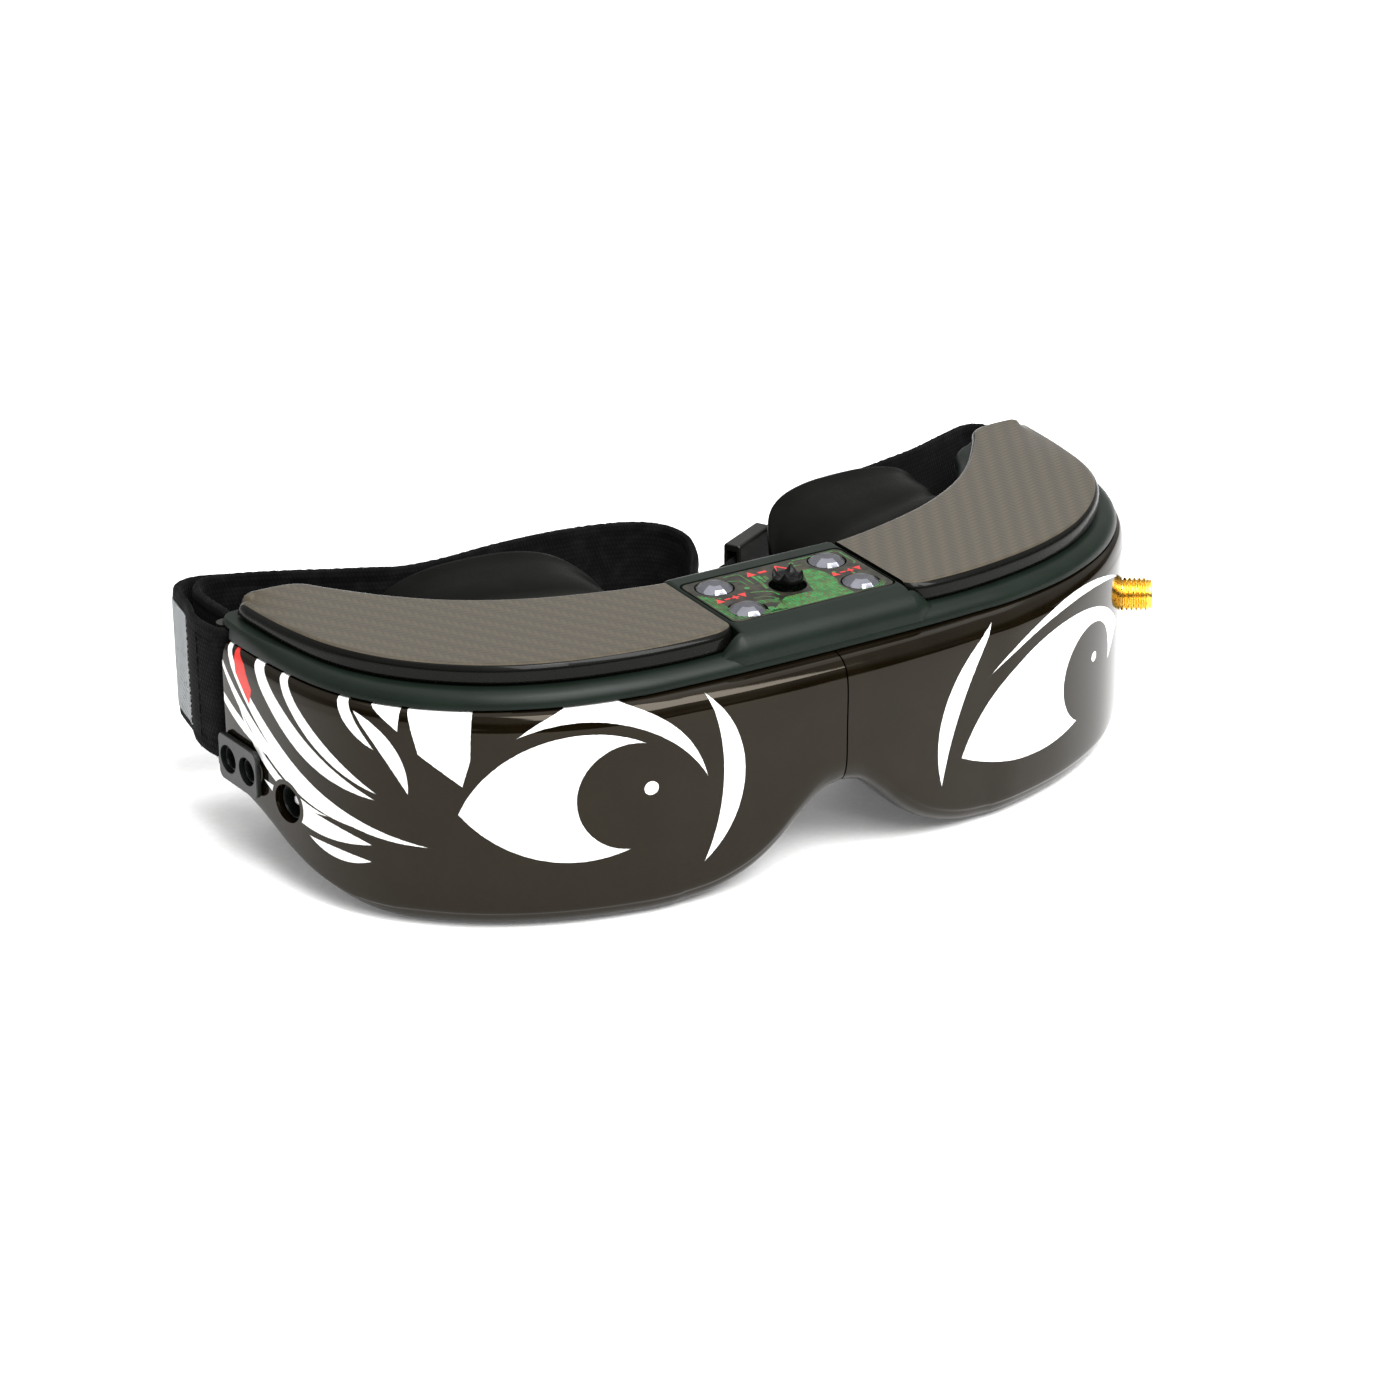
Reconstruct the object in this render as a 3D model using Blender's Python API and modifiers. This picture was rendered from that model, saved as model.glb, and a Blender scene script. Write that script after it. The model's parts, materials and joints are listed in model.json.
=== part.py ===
"""Head-worn video goggles for flying model aircraft: two glossy front shells, a matt top cover with
two raised bay covers and a keypad, sliding optics, rubber eyecups and an elastic head strap.

Lengths are in millimetres until a mesh is written. The goggles face -Y, +X is the wearer's left,
+Z is up, and the bottom rests on z = 0. The frame's origin is under the middle of the whole outline.
"""

import math

import bmesh
import bpy
from mathutils import Matrix, Vector

MM = 0.001
GAP = 0.3                      # clearance between neighbouring pieces

# Driving heights and sizes
TOP = 47.0                     # top of the keypad bridge and of the bay covers
SHELL_TOP = 40.0               # joint line between front shells and top cover
RIM_TOP = 43.2                 # flat of the top cover, where the bay covers stand
WALL = 1.8                     # thickness of the moulded shells
FLOOR = 1.6                    # thickness of the bottom cover
EYE_X = 32.0                   # half of the distance between the two optics
EYE_Z = 23.0                   # height of the optical axes
BRIDGE_HALF = 17.4             # half width of the keypad bridge
KEY_X, KEY_Y, KEY_R = 11.6, 5.4, 3.25
STRAP_WIDTH, STRAP_THICK = 25.0, 1.5
FRAME_SHIFT = -26.03           # brings the middle of the whole outline to y = 0

# Plan outlines of the right half, from the middle of the front round to the end of the rear corner.
# The three lists have matching points: the joint line, the widest line and the lower edge.
JOINT_LINE = [(0, -15.4), (7.0, -15.37), (14.0, -15.27), (21.6, -15.1), (30.0, -14.7), (38.9, -14.0), (51.3, -11.1), (62.4, -6.1), (71.2, 0.4),
              (77.9, 8.2), (82.4, 17.8), (85.1, 30.2), (86.5, 43.5), (85.6, 47.4), (82.4, 48.7), (73.0, 48.7)]
WIDE_LINE = [(0, -19.3), (7.0, -19.24), (14.0, -19.05), (21.6, -18.7), (30.0, -18.0), (38.9, -17.0), (51.6, -13.4), (63.4, -7.6), (72.6, -0.3),
             (79.4, 7.8), (84.1, 17.7), (86.7, 30.2), (88.0, 43.6), (86.8, 48.4), (83.2, 49.7), (73.0, 49.7)]
LOWER_LINE = [(0, -11.6), (7.0, -11.55), (14.0, -11.4), (21.6, -11.0), (29.5, -10.3), (37.2, -9.4), (48.8, -6.2), (59.6, -0.8), (67.6, 5.6),
              (73.0, 12.4), (76.8, 20.6), (78.9, 31.4), (79.6, 40.6), (79.0, 44.6), (77.0, 46.8), (73.0, 47.6)]
# Rear outline of the right half, from the middle to where the front shell's end wall stops.
REAR_LINE = [(0, 14.0), (16.0, 14.6), (27.0, 17.0), (40.0, 20.8), (50.5, 26.3), (58.5, 33.2),
             (64.6, 40.6), (67.6, 45.8), (69.3, 47.2), (71.4, 47.8)]
# Bay cover of the right half: its outer edge, then its inner edge back to the bridge.
COVER_FRONT = [(17.8, -11.9), (28.0, -12.0), (38.2, -10.9), (49.4, -8.3), (59.6, -3.9), (68.4, 2.6),
               (75.2, 10.4), (79.7, 19.4), (82.4, 30.6), (83.8, 41.6), (83.7, 45.0)]
COVER_REAR = [(81.6, 46.3), (75.4, 46.3), (71.2, 45.0), (67.8, 40.6), (60.4, 32.0), (51.6, 24.6),
              (40.4, 18.6), (27.6, 14.5), (17.8, 12.4)]
# Height of the underside over the nose: at the front edge and at the rear wall, by distance from the middle.
NOSE_FRONT = [(0, 15.8), (4.5, 14.6), (9.0, 11.0), (13.0, 7.2), (17.0, 4.3), (21.0, 2.4), (26.0, 0.9),
              (32.0, 0.2), (38.0, 0.0), (90.0, 0.0)]
NOSE_REAR = [(0, 23.5), (6.0, 22.4), (11.0, 18.6), (15.0, 13.0), (19.0, 8.0), (24.0, 4.2), (30.0, 1.5),
             (36.0, 0.2), (42.0, 0.0), (90.0, 0.0)]
# How far the underside climbs towards the temples, by distance from front to back.
TEMPLE_LIFT = [(-20.0, 0.0), (0.0, 0.0), (5.4, 0.2), (11.0, 1.4), (17.3, 4.0), (22.7, 6.6), (31.3, 10.6),
               (37.8, 12.4), (46.4, 13.6), (60.0, 14.0)]
# Front shell section: share of the way from joint line to wide line, and height.
SHOULDER = [(0.0, SHELL_TOP), (0.5, SHELL_TOP - 0.7), (0.85, SHELL_TOP - 2.4), (1.0, SHELL_TOP - 5.5)]
# Its lower roll: share of the way from wide line to lower edge, and height over the underside.
ROLL = [(0.0, 5.6), (0.06, 2.9), (0.17, 1.35), (0.36, 0.45), (0.62, 0.08), (1.0, 0.0)]


# ---------------------------------------------------------------- curves and meshes

def smooth(points, per_span):
    """Points along a Catmull-Rom curve through the given points."""
    ends = [[2 * a - b for a, b in zip(points[0], points[1])], [2 * a - b for a, b in zip(points[-1], points[-2])]]
    p = [ends[0], *points, ends[1]]
    made = []
    for i in range(1, len(p) - 2):
        for k in range(per_span):
            t = k / per_span
            made.append(tuple(
                0.5 * (2 * b + (c - a) * t + (2 * a - 5 * b + 4 * c - d) * t * t + (3 * b - a - 3 * c + d) * t ** 3)
                for a, b, c, d in zip(p[i - 1], p[i], p[i + 1], p[i + 2])))
    return made + [tuple(points[-1])]


def height_at(table, x):
    """Height from a table of (distance, height), eased between its points."""
    x = abs(x)
    fine = smooth(table, 6)
    for (x0, z0), (x1, z1) in zip(fine, fine[1:]):
        if x0 <= x <= x1:
            return z0 + (z1 - z0) * (x - x0) / (x1 - x0)
    return fine[-1][1]


def ease(value, low, high):
    """0 below low, 1 above high and a smooth step between."""
    t = min(max((value - low) / (high - low), 0.0), 1.0)
    return t * t * (3 - 2 * t)


def along(table, x):
    """The second value of a table at x, straight between its points."""
    if x <= table[0][0]:
        return table[0][1]
    for (x0, y0), (x1, y1) in zip(table, table[1:]):
        if x <= x1:
            return y0 + (y1 - y0) * (x - x0) / (x1 - x0)
    return table[-1][1]


def at_share(line, share):
    """The point at a share of the way along a line, counted in its points."""
    position = share * (len(line) - 1)
    i = min(int(position), len(line) - 2)
    return mix(line[i], line[i + 1], position - i)


def underside(x, y):
    """Height of the bottom: arched over the nose, flat under the optics, climbing to the temples."""
    back = ease(y, -11.0, 14.0)
    nose = height_at(NOSE_FRONT, x) * (1 - back) + height_at(NOSE_REAR, x) * back
    return max(nose, 0.0) + along(TEMPLE_LIFT, y) * ease(abs(x), 60.0, 79.0)


def mix(a, b, share):
    return tuple(p + (q - p) * share for p, q in zip(a, b))


def new_object(name, mesh, material, collection=None):
    obj = bpy.data.objects.new(name, mesh)
    (collection or PARTS).objects.link(obj)
    if material:
        obj.data.materials.append(material)
    obj.parent = FRAME
    return obj


def from_bmesh(name, bm, material, collection=None, about=(0, 0, 0)):
    """A new object from a bmesh in millimetres, with its origin at the point about."""
    bm.normal_update()
    bmesh.ops.recalc_face_normals(bm, faces=bm.faces)
    bm.transform(Matrix.Scale(MM, 4) @ Matrix.Translation([-c for c in about]))
    mesh = bpy.data.meshes.new(name)
    bm.to_mesh(mesh)
    bm.free()
    mesh.shade_smooth()
    mesh.set_sharp_from_angle(angle=math.radians(35))
    obj = new_object(name, mesh, material, collection)
    obj.location = Vector(about) * MM
    return obj


def rings_to_bmesh(rings, close_ring=True, caps=True):
    """Faces between successive rings of points, with the first and last ring filled when caps is set."""
    bm = bmesh.new()
    rows = [[bm.verts.new(p) for p in ring] for ring in rings]
    count = len(rows[0])
    for lower, upper in zip(rows, rows[1:]):
        for i in range(count if close_ring else count - 1):
            j = (i + 1) % count
            bm.faces.new((lower[i], lower[j], upper[j], upper[i]))
    if caps:
        bm.faces.new(rows[0])
        bm.faces.new(rows[-1])
    return bm


def sheet(name, rows, thickness, material):
    """An open surface through rows of points, thickened to a closed shell on its inner side."""
    bm = rings_to_bmesh(rows, close_ring=False, caps=False)
    bm.transform(Matrix.Scale(MM, 4))
    mesh = bpy.data.meshes.new(name)
    bm.to_mesh(mesh)
    bm.free()
    mesh.shade_smooth()
    mesh.set_sharp_from_angle(angle=math.radians(35))
    obj = new_object(name, mesh, material)
    solid = obj.modifiers.new("Thickness", "SOLIDIFY")
    solid.thickness = abs(thickness) * MM
    solid.offset = math.copysign(1.0, thickness)
    solid.use_even_offset = False
    return obj


def slab(name, rows, height, material):
    """A closed solid between a grid of points and the same grid raised straight up."""
    bm = bmesh.new()
    low = [[bm.verts.new(p) for p in row] for row in rows]
    high = [[bm.verts.new((x, y, z + height)) for x, y, z in row] for row in rows]
    for grid in (low, high):
        for a, b in zip(grid, grid[1:]):
            for i in range(len(a) - 1):
                bm.faces.new((a[i], a[i + 1], b[i + 1], b[i]))
    edge = [(k, 0) for k in range(len(rows))] + [(len(rows) - 1, i) for i in range(1, len(rows[0]))]
    edge += [(k, len(rows[0]) - 1) for k in range(len(rows) - 2, -1, -1)] + [(0, i) for i in range(len(rows[0]) - 2, 0, -1)]
    for (a, b), (c, d) in zip(edge, edge[1:] + edge[:1]):
        bm.faces.new((low[a][b], low[c][d], high[c][d], high[a][b]))
    return from_bmesh(name, bm, material)


def offset_line(line, distance):
    """An open line moved to its left."""
    made = []
    for i, (x, y) in enumerate(line):
        ahead, behind = line[min(i + 1, len(line) - 1)], line[max(i - 1, 0)]
        tangent = Vector((ahead[0] - behind[0], ahead[1] - behind[1])).normalized()
        made.append((x - tangent.y * distance, y + tangent.x * distance))
    return made


def inset(outline, distance):
    """A closed outline moved inwards, for an outline that runs counter-clockwise seen from above."""
    made = []
    count = len(outline)
    for i, (x, y) in enumerate(outline):
        ahead, behind = outline[(i + 1) % count], outline[i - 1]
        tangent = Vector((ahead[0] - behind[0], ahead[1] - behind[1])).normalized()
        made.append((x - tangent.y * distance, y + tangent.x * distance))
    return made


def plate(name, outline, levels, material, collection=None):
    """A closed solid from a plan outline and (height, inset) levels."""
    rings = [[(x, y, z) for x, y in inset(outline, d)] for z, d in levels]
    return from_bmesh(name, rings_to_bmesh(rings), material, collection)


def box(name, low, high, material, collection=None, bevel=0.0, upright=None, radius=0.0, place=Matrix()):
    """A box between two corners. bevel breaks all its edges; radius rounds those along the upright axis."""
    bm = bmesh.new()
    bmesh.ops.create_cube(bm, size=1.0)
    bmesh.ops.scale(bm, vec=[b - a for a, b in zip(low, high)], verts=bm.verts)
    bmesh.ops.translate(bm, vec=[(a + b) / 2 for a, b in zip(low, high)], verts=bm.verts)
    if upright:
        k = "XYZ".index(upright)
        edges = [e for e in bm.edges if abs((e.verts[0].co - e.verts[1].co)[k]) > 0.9 * e.calc_length()]
        bmesh.ops.bevel(bm, geom=edges, offset=radius, segments=4, profile=0.5, affect="EDGES")
    if bevel:
        bmesh.ops.bevel(bm, geom=bm.edges[:], offset=bevel, segments=1, affect="EDGES")
    bm.transform(place)
    return from_bmesh(name, bm, material, collection)


def round_rect(half_x, half_z, radius, steps=4):
    """Points of a rectangle with round corners, counter-clockwise in its own two axes."""
    made = []
    for corner in range(4):
        cx = (half_x - radius) * (1 if corner in (0, 3) else -1)
        cz = (half_z - radius) * (1 if corner in (0, 1) else -1)
        for k in range(steps + 1):
            angle = math.radians(90 * corner + 90 * k / steps)
            made.append((cx + radius * math.cos(angle), cz + radius * math.sin(angle)))
    return made


def placed(at, axis):
    """Moves the Z axis onto an axis through a point, in millimetres."""
    turn = Vector((0, 0, 1)).rotation_difference(Vector(axis))
    return Matrix.Translation(at) @ turn.to_matrix().to_4x4()


def cylinder(name, radius, ends, at, axis, material, collection=None, sides=24, radius_end=None):
    """A cylinder or cone between two distances along an axis, with its origin on that axis."""
    bm = bmesh.new()
    bmesh.ops.create_cone(bm, cap_ends=True, segments=sides, radius1=radius, depth=ends[1] - ends[0],
                          radius2=radius if radius_end is None else radius_end)
    bmesh.ops.translate(bm, vec=(0, 0, sum(ends) / 2), verts=bm.verts)
    bm.transform(placed(at, axis))
    return from_bmesh(name, bm, material, collection, about=at)


def turned(name, profile, at, axis, material, collection=None, sides=24):
    """A turned solid: profile lists (radius, distance along axis) from its lower to its upper end."""
    half = [(0.0, profile[0][1]), *profile, (0.0, profile[-1][1])]
    mesh = bpy.data.meshes.new(name)
    mesh.from_pydata([(r * MM, 0, z * MM) for r, z in reversed(half)], [(i, i + 1) for i in range(len(half) - 1)], [])
    obj = new_object(name, mesh, material, collection)
    screw = obj.modifiers.new("Turn", "SCREW")
    screw.axis = "Z"
    screw.steps = screw.render_steps = sides
    screw.use_merge_vertices = True
    screw.merge_threshold = 0.000001
    obj.matrix_basis = Matrix.Translation(Vector(at) * MM) @ placed((0, 0, 0), axis)
    return obj


def boolean(target, operation, *others):
    """Applies a Boolean with each other object, and removes those objects."""
    for other in others:
        change = target.modifiers.new(operation.title(), "BOOLEAN")
        change.operation = operation
        change.object = other
        change.solver = "EXACT"
    bpy.context.view_layer.update()
    graph = bpy.context.evaluated_depsgraph_get()
    made = bpy.data.meshes.new_from_object(target.evaluated_get(graph))
    target.modifiers.clear()
    target.data = made
    for other in others:
        bpy.data.objects.remove(other)
    return target


# ---------------------------------------------------------------- scene and materials

def clear_scene():
    for obj in list(bpy.data.objects):
        bpy.data.objects.remove(obj)


def collection_named(name):
    made = bpy.data.collections.new(name)
    bpy.context.scene.collection.children.link(made)
    return made


def material(name, colour, roughness, metallic=0.0):
    made = bpy.data.materials.new(name)
    made.use_nodes = True
    shader = made.node_tree.nodes["Principled BSDF"]
    shader.inputs["Base Color"].default_value = (*colour, 1.0)
    shader.inputs["Roughness"].default_value = roughness
    shader.inputs["Metallic"].default_value = metallic
    return made


clear_scene()
PARTS = collection_named("video_goggles")
CUTTERS = collection_named("cutters")
FRAME = bpy.data.objects.new("goggles_frame", None)
PARTS.objects.link(FRAME)
FRAME.location = (0, FRAME_SHIFT * MM, 0)

GLOSS = material("gloss_black_shell", (0.016, 0.014, 0.011), 0.12)
MATT = material("matt_black_shell", (0.030, 0.033, 0.030), 0.45)
CARBON = material("carbon_pattern_cover", (0.075, 0.068, 0.055), 0.28)
RUBBER = material("black_rubber", (0.012, 0.012, 0.012), 0.5)
ELASTIC = material("black_elastic", (0.008, 0.008, 0.008), 0.9)
PLASTIC = material("black_plastic", (0.02, 0.02, 0.02), 0.4)
BOARD = material("green_board", (0.03, 0.16, 0.05), 0.5)
LABEL = material("keypad_label", (0.10, 0.09, 0.075), 0.4)
STEEL = material("dome_steel", (0.72, 0.72, 0.76), 0.2, 1.0)
GOLD = material("gold_plate", (0.83, 0.55, 0.12), 0.25, 1.0)
GLASS = material("lens_glass", (0.5, 0.55, 0.6), 0.05)
WHITE = material("white_insulator", (0.85, 0.85, 0.82), 0.4)


# ---------------------------------------------------------------- moulded shells

def front_shell(side, name):
    """One glossy front shell, from the middle seam round to the rear corner. side is 1 or -1."""
    joint, wide, lower = (smooth(line, 2) for line in (JOINT_LINE, WIDE_LINE, LOWER_LINE))
    joint_in, wide_in = offset_line(joint, WALL), offset_line(wide, WALL)
    for line in (joint, wide, lower, joint_in, wide_in):
        line[0] = (GAP / 2, line[0][1])
        line[-1] = (73.0, line[-1][1])
    sections = []
    for j, w, low, j_in, w_in in zip(joint, wide, lower, joint_in, wide_in):
        shrink = 1 - 0.55 * ease(w[1], 0.0, 26.0)
        section = [(*mix(j, w, share), z) for share, z in SHOULDER]
        for share, over in ROLL:
            p = mix(w, low, share)
            section.append((*p, underside(*p) + over * shrink))
        section.insert(len(SHOULDER), mix(section[len(SHOULDER) - 1], section[len(SHOULDER)], 0.5))
        floor = underside(*low) + FLOOR
        corner = mix(w_in, low, 0.3)
        section += [(*low, floor), (*corner, underside(*corner) + FLOOR + 0.3),
                    (*w_in, underside(*w_in) + FLOOR + 2.2 * shrink), (*w_in, SHELL_TOP - 6.5), (*j_in, SHELL_TOP)]
        sections.append([(side * x, y, z) for x, y, z in section])
    return from_bmesh(name, rings_to_bmesh(sections), GLOSS)


def full_outline(right_half):
    """A closed counter-clockwise outline from the right half's points, which start and end on x = 0."""
    left = [(-x, y) for x, y in reversed(right_half) if x > 0.01]
    return list(right_half) + left


def rim_outline():
    front = smooth(JOINT_LINE, 2)
    rear = list(reversed(smooth(REAR_LINE, 2)))
    return full_outline(front + rear)


def keypad_bridge():
    """The raised block between the bays: a front-to-back section run across the middle."""
    section = [(13.9, 41.5), (13.9, 45.0), (13.3, 46.3), (12.0, TOP), (-9.9, TOP), (-11.7, 46.7), (-13.2, 45.9),
               (-14.4, 44.6), (-15.0, 43.0), (-15.2, 41.5)]
    stations = [(-BRIDGE_HALF, 0.8), (-BRIDGE_HALF + 0.5, 0.15), (-BRIDGE_HALF + 1.2, 0.0),
                (BRIDGE_HALF - 1.2, 0.0), (BRIDGE_HALF - 0.5, 0.15), (BRIDGE_HALF, 0.8)]
    rings = [[(x, y, z - drop * (z > 44)) for y, z in section] for x, drop in stations]
    return from_bmesh("bridge", rings_to_bmesh(rings), None, CUTTERS)


def top_cover():
    """The matt cover: a sloping rim all round, the keypad bridge, two bay openings and the key holes."""
    outline = rim_outline()
    cover = plate("top_cover", outline, [(SHELL_TOP + GAP, 0.05), (41.5, 0.35), (42.6, 1.2), (RIM_TOP, 2.6)], MATT)
    boolean(cover, "UNION", keypad_bridge())
    cuts = []
    for x in (57, -72):
        cuts.append(box("bay_cut", (x, 11.5, 30), (x + 15, 28, 60), None, CUTTERS))
    cuts.append(box("label_recess", (-16.8, -9.6, TOP - 0.9), (16.8, 9.6, TOP + 2), None, CUTTERS, upright="Z",
                    radius=1.6))
    cuts.append(box("board_pocket", (-15.5, -8.4, 30), (15.5, 8.4, 44.4), None, CUTTERS))
    for x, y, radius in [(sx * KEY_X, sy * KEY_Y, KEY_R + 0.4) for sx in (1, -1) for sy in (1, -1)] + [(0, 0, 3.4)]:
        cuts.append(cylinder("key_hole", radius, (0, 10), (x, y, 40), (0, 0, 1), None, CUTTERS))
    return boolean(cover, "DIFFERENCE", *cuts)


def bottom_cover():
    """The underside, arched over the nose, between the front shells' lower edges and the rear wall."""
    front = offset_line(smooth(LOWER_LINE, 2), GAP + 0.2)
    front[0] = (0.0, front[0][1])
    front[-3:] = [(77.0, 45.6), (74.0, 46.0), (71.6, 46.2)]
    rear = smooth(REAR_LINE, 2)
    count = 22
    rows = []
    for k in range(6):
        row = []
        for i in range(count + 1):
            x, y = mix(at_share(front, i / count), at_share(rear, i / count), k / 5)
            row.append((x, y, underside(x, y)))
        rows.append([(-x, y, z) for x, y, z in reversed(row[1:])] + row)
    return slab("bottom_cover", rows, FLOOR, MATT)


def rear_housing():
    """The wall that faces the wearer, with a window behind each optic."""
    line = [p for p in smooth(REAR_LINE, 2)]
    path = [(-x, y) for x, y in reversed(line[1:])] + line
    rows = []
    for share in (0.0, 0.5, 1.0):
        rows.append([(x, y - 0.05, (max(underside(x, y), underside(*q)) + FLOOR + 0.95) * (1 - share)
                      + SHELL_TOP * share) for (x, y), q in zip(path, offset_line(path, -WALL))])
    wall = sheet("rear_housing", rows, WALL - 0.2, MATT)
    graph = bpy.context.evaluated_depsgraph_get()
    bpy.context.view_layer.update()
    wall.data = bpy.data.meshes.new_from_object(wall.evaluated_get(graph))
    wall.modifiers.clear()
    windows = []
    for side in (1, -1):
        x = side * (EYE_X + 1.5)
        windows.append(box("window_cut", (x - 12.5, 5, EYE_Z - 11), (x + 12.5, 40, EYE_Z + 11), None, CUTTERS, upright="Y",
                           radius=3.0))
    return boolean(wall, "DIFFERENCE", *windows)


def bay_cover(side, name):
    """One raised cover with a carbon pattern and rounded edges, standing on the top cover."""
    outline = smooth(COVER_FRONT, 2) + smooth(COVER_REAR, 2)
    if side < 0:
        outline = [(-x, y) for x, y in reversed(outline)]
    levels = [(RIM_TOP + GAP, 0.3), (RIM_TOP + 0.8, 0.0), (45.5, 0.0), (46.4, 0.35), (TOP - 0.1, 1.1), (TOP, 2.2)]
    return plate(name, outline, levels, CARBON)


# ---------------------------------------------------------------- keypad

def key_dome(name, x, y):
    """A domed key that stands through the label; its origin is at the foot of the dome."""
    crown = [(KEY_R * math.cos(a), 1.15 * math.sin(a)) for a in (math.radians(k) for k in (0, 18, 36, 54, 70, 84))]
    profile = [(KEY_R - 0.4, -1.9), (KEY_R, -1.6), *crown]
    return turned(name, profile, (x, y, TOP - 0.1), (0, 0, 1), STEEL)


def keypad():
    face = TOP - 0.9 + GAP
    label = box("keypad_label", (-16.4, -9.2, face), (16.4, 9.2, TOP - 0.1), LABEL, upright="Z", radius=1.4)
    holes = [cylinder("key_hole", KEY_R + 0.3, (0, 8), (sx * KEY_X, sy * KEY_Y, 42), (0, 0, 1),
                    None, CUTTERS) for sx in (1, -1) for sy in (1, -1)]
    holes.append(cylinder("stick_hole", 2.6, (0, 8), (0, 0, 42), (0, 0, 1), None, CUTTERS))
    boolean(label, "DIFFERENCE", *holes)
    for name, sx, sy in (("volume_up_key", -1, 1), ("volume_down_key", -1, -1),
                         ("channel_up_key", 1, 1), ("channel_down_key", 1, -1)):
        key_dome(name, sx * KEY_X, sy * KEY_Y)
    box("keypad_board", (-15.2, -8.1, 42.5), (15.2, 8.1, 43.7), BOARD)
    switch = box("stick_switch_base", (-3.0, -3.0, 39.2), (3.0, 3.0, 42.2), PLASTIC)
    boolean(switch, "DIFFERENCE", cylinder("switch_well", 2.4, (0, 4), (0, 0, 40.0), (0, 0, 1), None, CUTTERS))
    board = bpy.data.objects["keypad_board"]
    boolean(board, "DIFFERENCE", cylinder("board_hole", 2.6, (0, 6), (0, 0, 40), (0, 0, 1), None, CUTTERS))


def joystick():
    """Plunger, gimbal ring and stick, stacked so that each rides on the one before."""
    turned("stick_plunger", [(1.9, 0.0), (1.9, 0.5), (0.9, 0.7)], (0, 0, 40.6), (0, 0, 1), STEEL, sides=16)
    ring = cylinder("stick_gimbal", 2.1, (0.0, 0.8), (0, 0, 43.9), (0, 0, 1), PLASTIC, sides=16)
    boolean(ring, "DIFFERENCE", cylinder("gimbal_bore", 1.3, (-1, 2), (0, 0, 43.9), (0, 0, 1), None, CUTTERS,
                                       sides=16))
    stem = [(0.6, -2.2), (0.9, -1.6), (0.9, 2.7), (1.3, 2.8), (1.3, 3.1)]
    turned("stick_stem", stem, (0, 0, 44.3), (0, 0, 1), PLASTIC, sides=16)
    cap = turned("stick_cap", [(1.5, 0.0), (2.5, 0.35), (2.8, 1.0), (2.3, 3.0)], (0, 0, 47.7), (0, 0, 1), PLASTIC)
    notches = [box("cap_notch", (-5, -0.8, 49.2), (5, 0.8, 54), None, CUTTERS),
               box("cap_notch", (-0.8, -5, 49.2), (0.8, 5, 54), None, CUTTERS),
               cylinder("cap_dish", 1.2, (0, 3), (0, 0, 49.0), (0, 0, 1), None, CUTTERS, sides=16, radius_end=2.0)]
    boolean(cap, "DIFFERENCE", *notches)
    return bpy.data.objects["stick_cap"]


# ---------------------------------------------------------------- optics

def optics(side, tag):
    """A sliding optic: housing with a tunnel for each guide rod, display, lens and the knob under it."""
    x = side * EYE_X
    body = box(f"optic_housing_{tag}", (x - 12.5, -8.0, EYE_Z - 10), (x + 12.5, 10.5, EYE_Z + 10), PLASTIC, bevel=1.0)
    lugs = box("rod_lug", (x - 7, -6.0, EYE_Z + 9), (x + 7, 8.5, EYE_Z + 14.6), None, CUTTERS)
    boolean(body, "UNION", lugs)
    cone = [[(x + u * s, y, EYE_Z + v * s) for u, v in round_rect(11.0, 8.5, 2.0)]
            for s, y in ((0.62, -5.2), (1.0, 12.0))]
    rods = [cylinder("rod_bore", 1.5, (-20, 20), (x, y, ROD_Z), (1, 0, 0), None, CUTTERS, sides=16) for y in ROD_Y]
    boolean(body, "DIFFERENCE", from_bmesh("light_cone", rings_to_bmesh(cone), None, CUTTERS), *rods)
    box(f"display_{tag}", (x - 5.6, -4.8, EYE_Z - 4.1), (x + 5.6, -3.4, EYE_Z + 4.1), GLASS)
    levels = [(6.2, 0.86), (7.2, 0.88), (8.9, 0.80), (9.9, 0.62)]
    lens = [[(x + u * s, y, EYE_Z + v * s) for u, v in round_rect(10.2, 7.8, 2.4)] for y, s in levels]
    from_bmesh(f"lens_{tag}", rings_to_bmesh(lens), GLASS)
    stalk = box(f"eye_width_knob_{tag}", (x - 3.5, 0.5, 1.6), (x + 3.5, 5.5, 3.4), RUBBER, bevel=0.4)
    boolean(stalk, "UNION", box("knob_stalk", (x - 1.2, 1.8, 2.6), (x + 1.2, 4.2, EYE_Z - 10 - GAP), None, CUTTERS))


ROD_Y = (-2.5, 5.0)
ROD_Z = EYE_Z + 12.0


def guides():
    """Two rods that carry both optics, and the frame that holds them under the top cover."""
    for y, name in zip(ROD_Y, ("guide_rod_front", "guide_rod_rear")):
        cylinder(name, 1.2, (-51.0, 51.0), (0, y, ROD_Z), (1, 0, 0), STEEL, sides=12)
    frame = box("rod_frame", (-53.0, -5.6, 37.9), (53.0, 8.2, 39.0), PLASTIC)
    lugs = [box("frame_lug", (x - 1.5, -5.2, 32.5), (x + 1.5, 7.8, 38.5), None, CUTTERS) for x in (-50.5, 0, 50.5)]
    boolean(frame, "UNION", *lugs)
    bores = [cylinder("frame_bore", 1.5, (-55, 55), (0, y, ROD_Z), (1, 0, 0), None, CUTTERS, sides=16)
             for y in ROD_Y]
    return boolean(frame, "DIFFERENCE", *bores)


# ---------------------------------------------------------------- open rear corners for the strap

CORNER_X, CORNER_Y, CORNER_ROOF = 81.0, 43.0, 42.2


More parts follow.
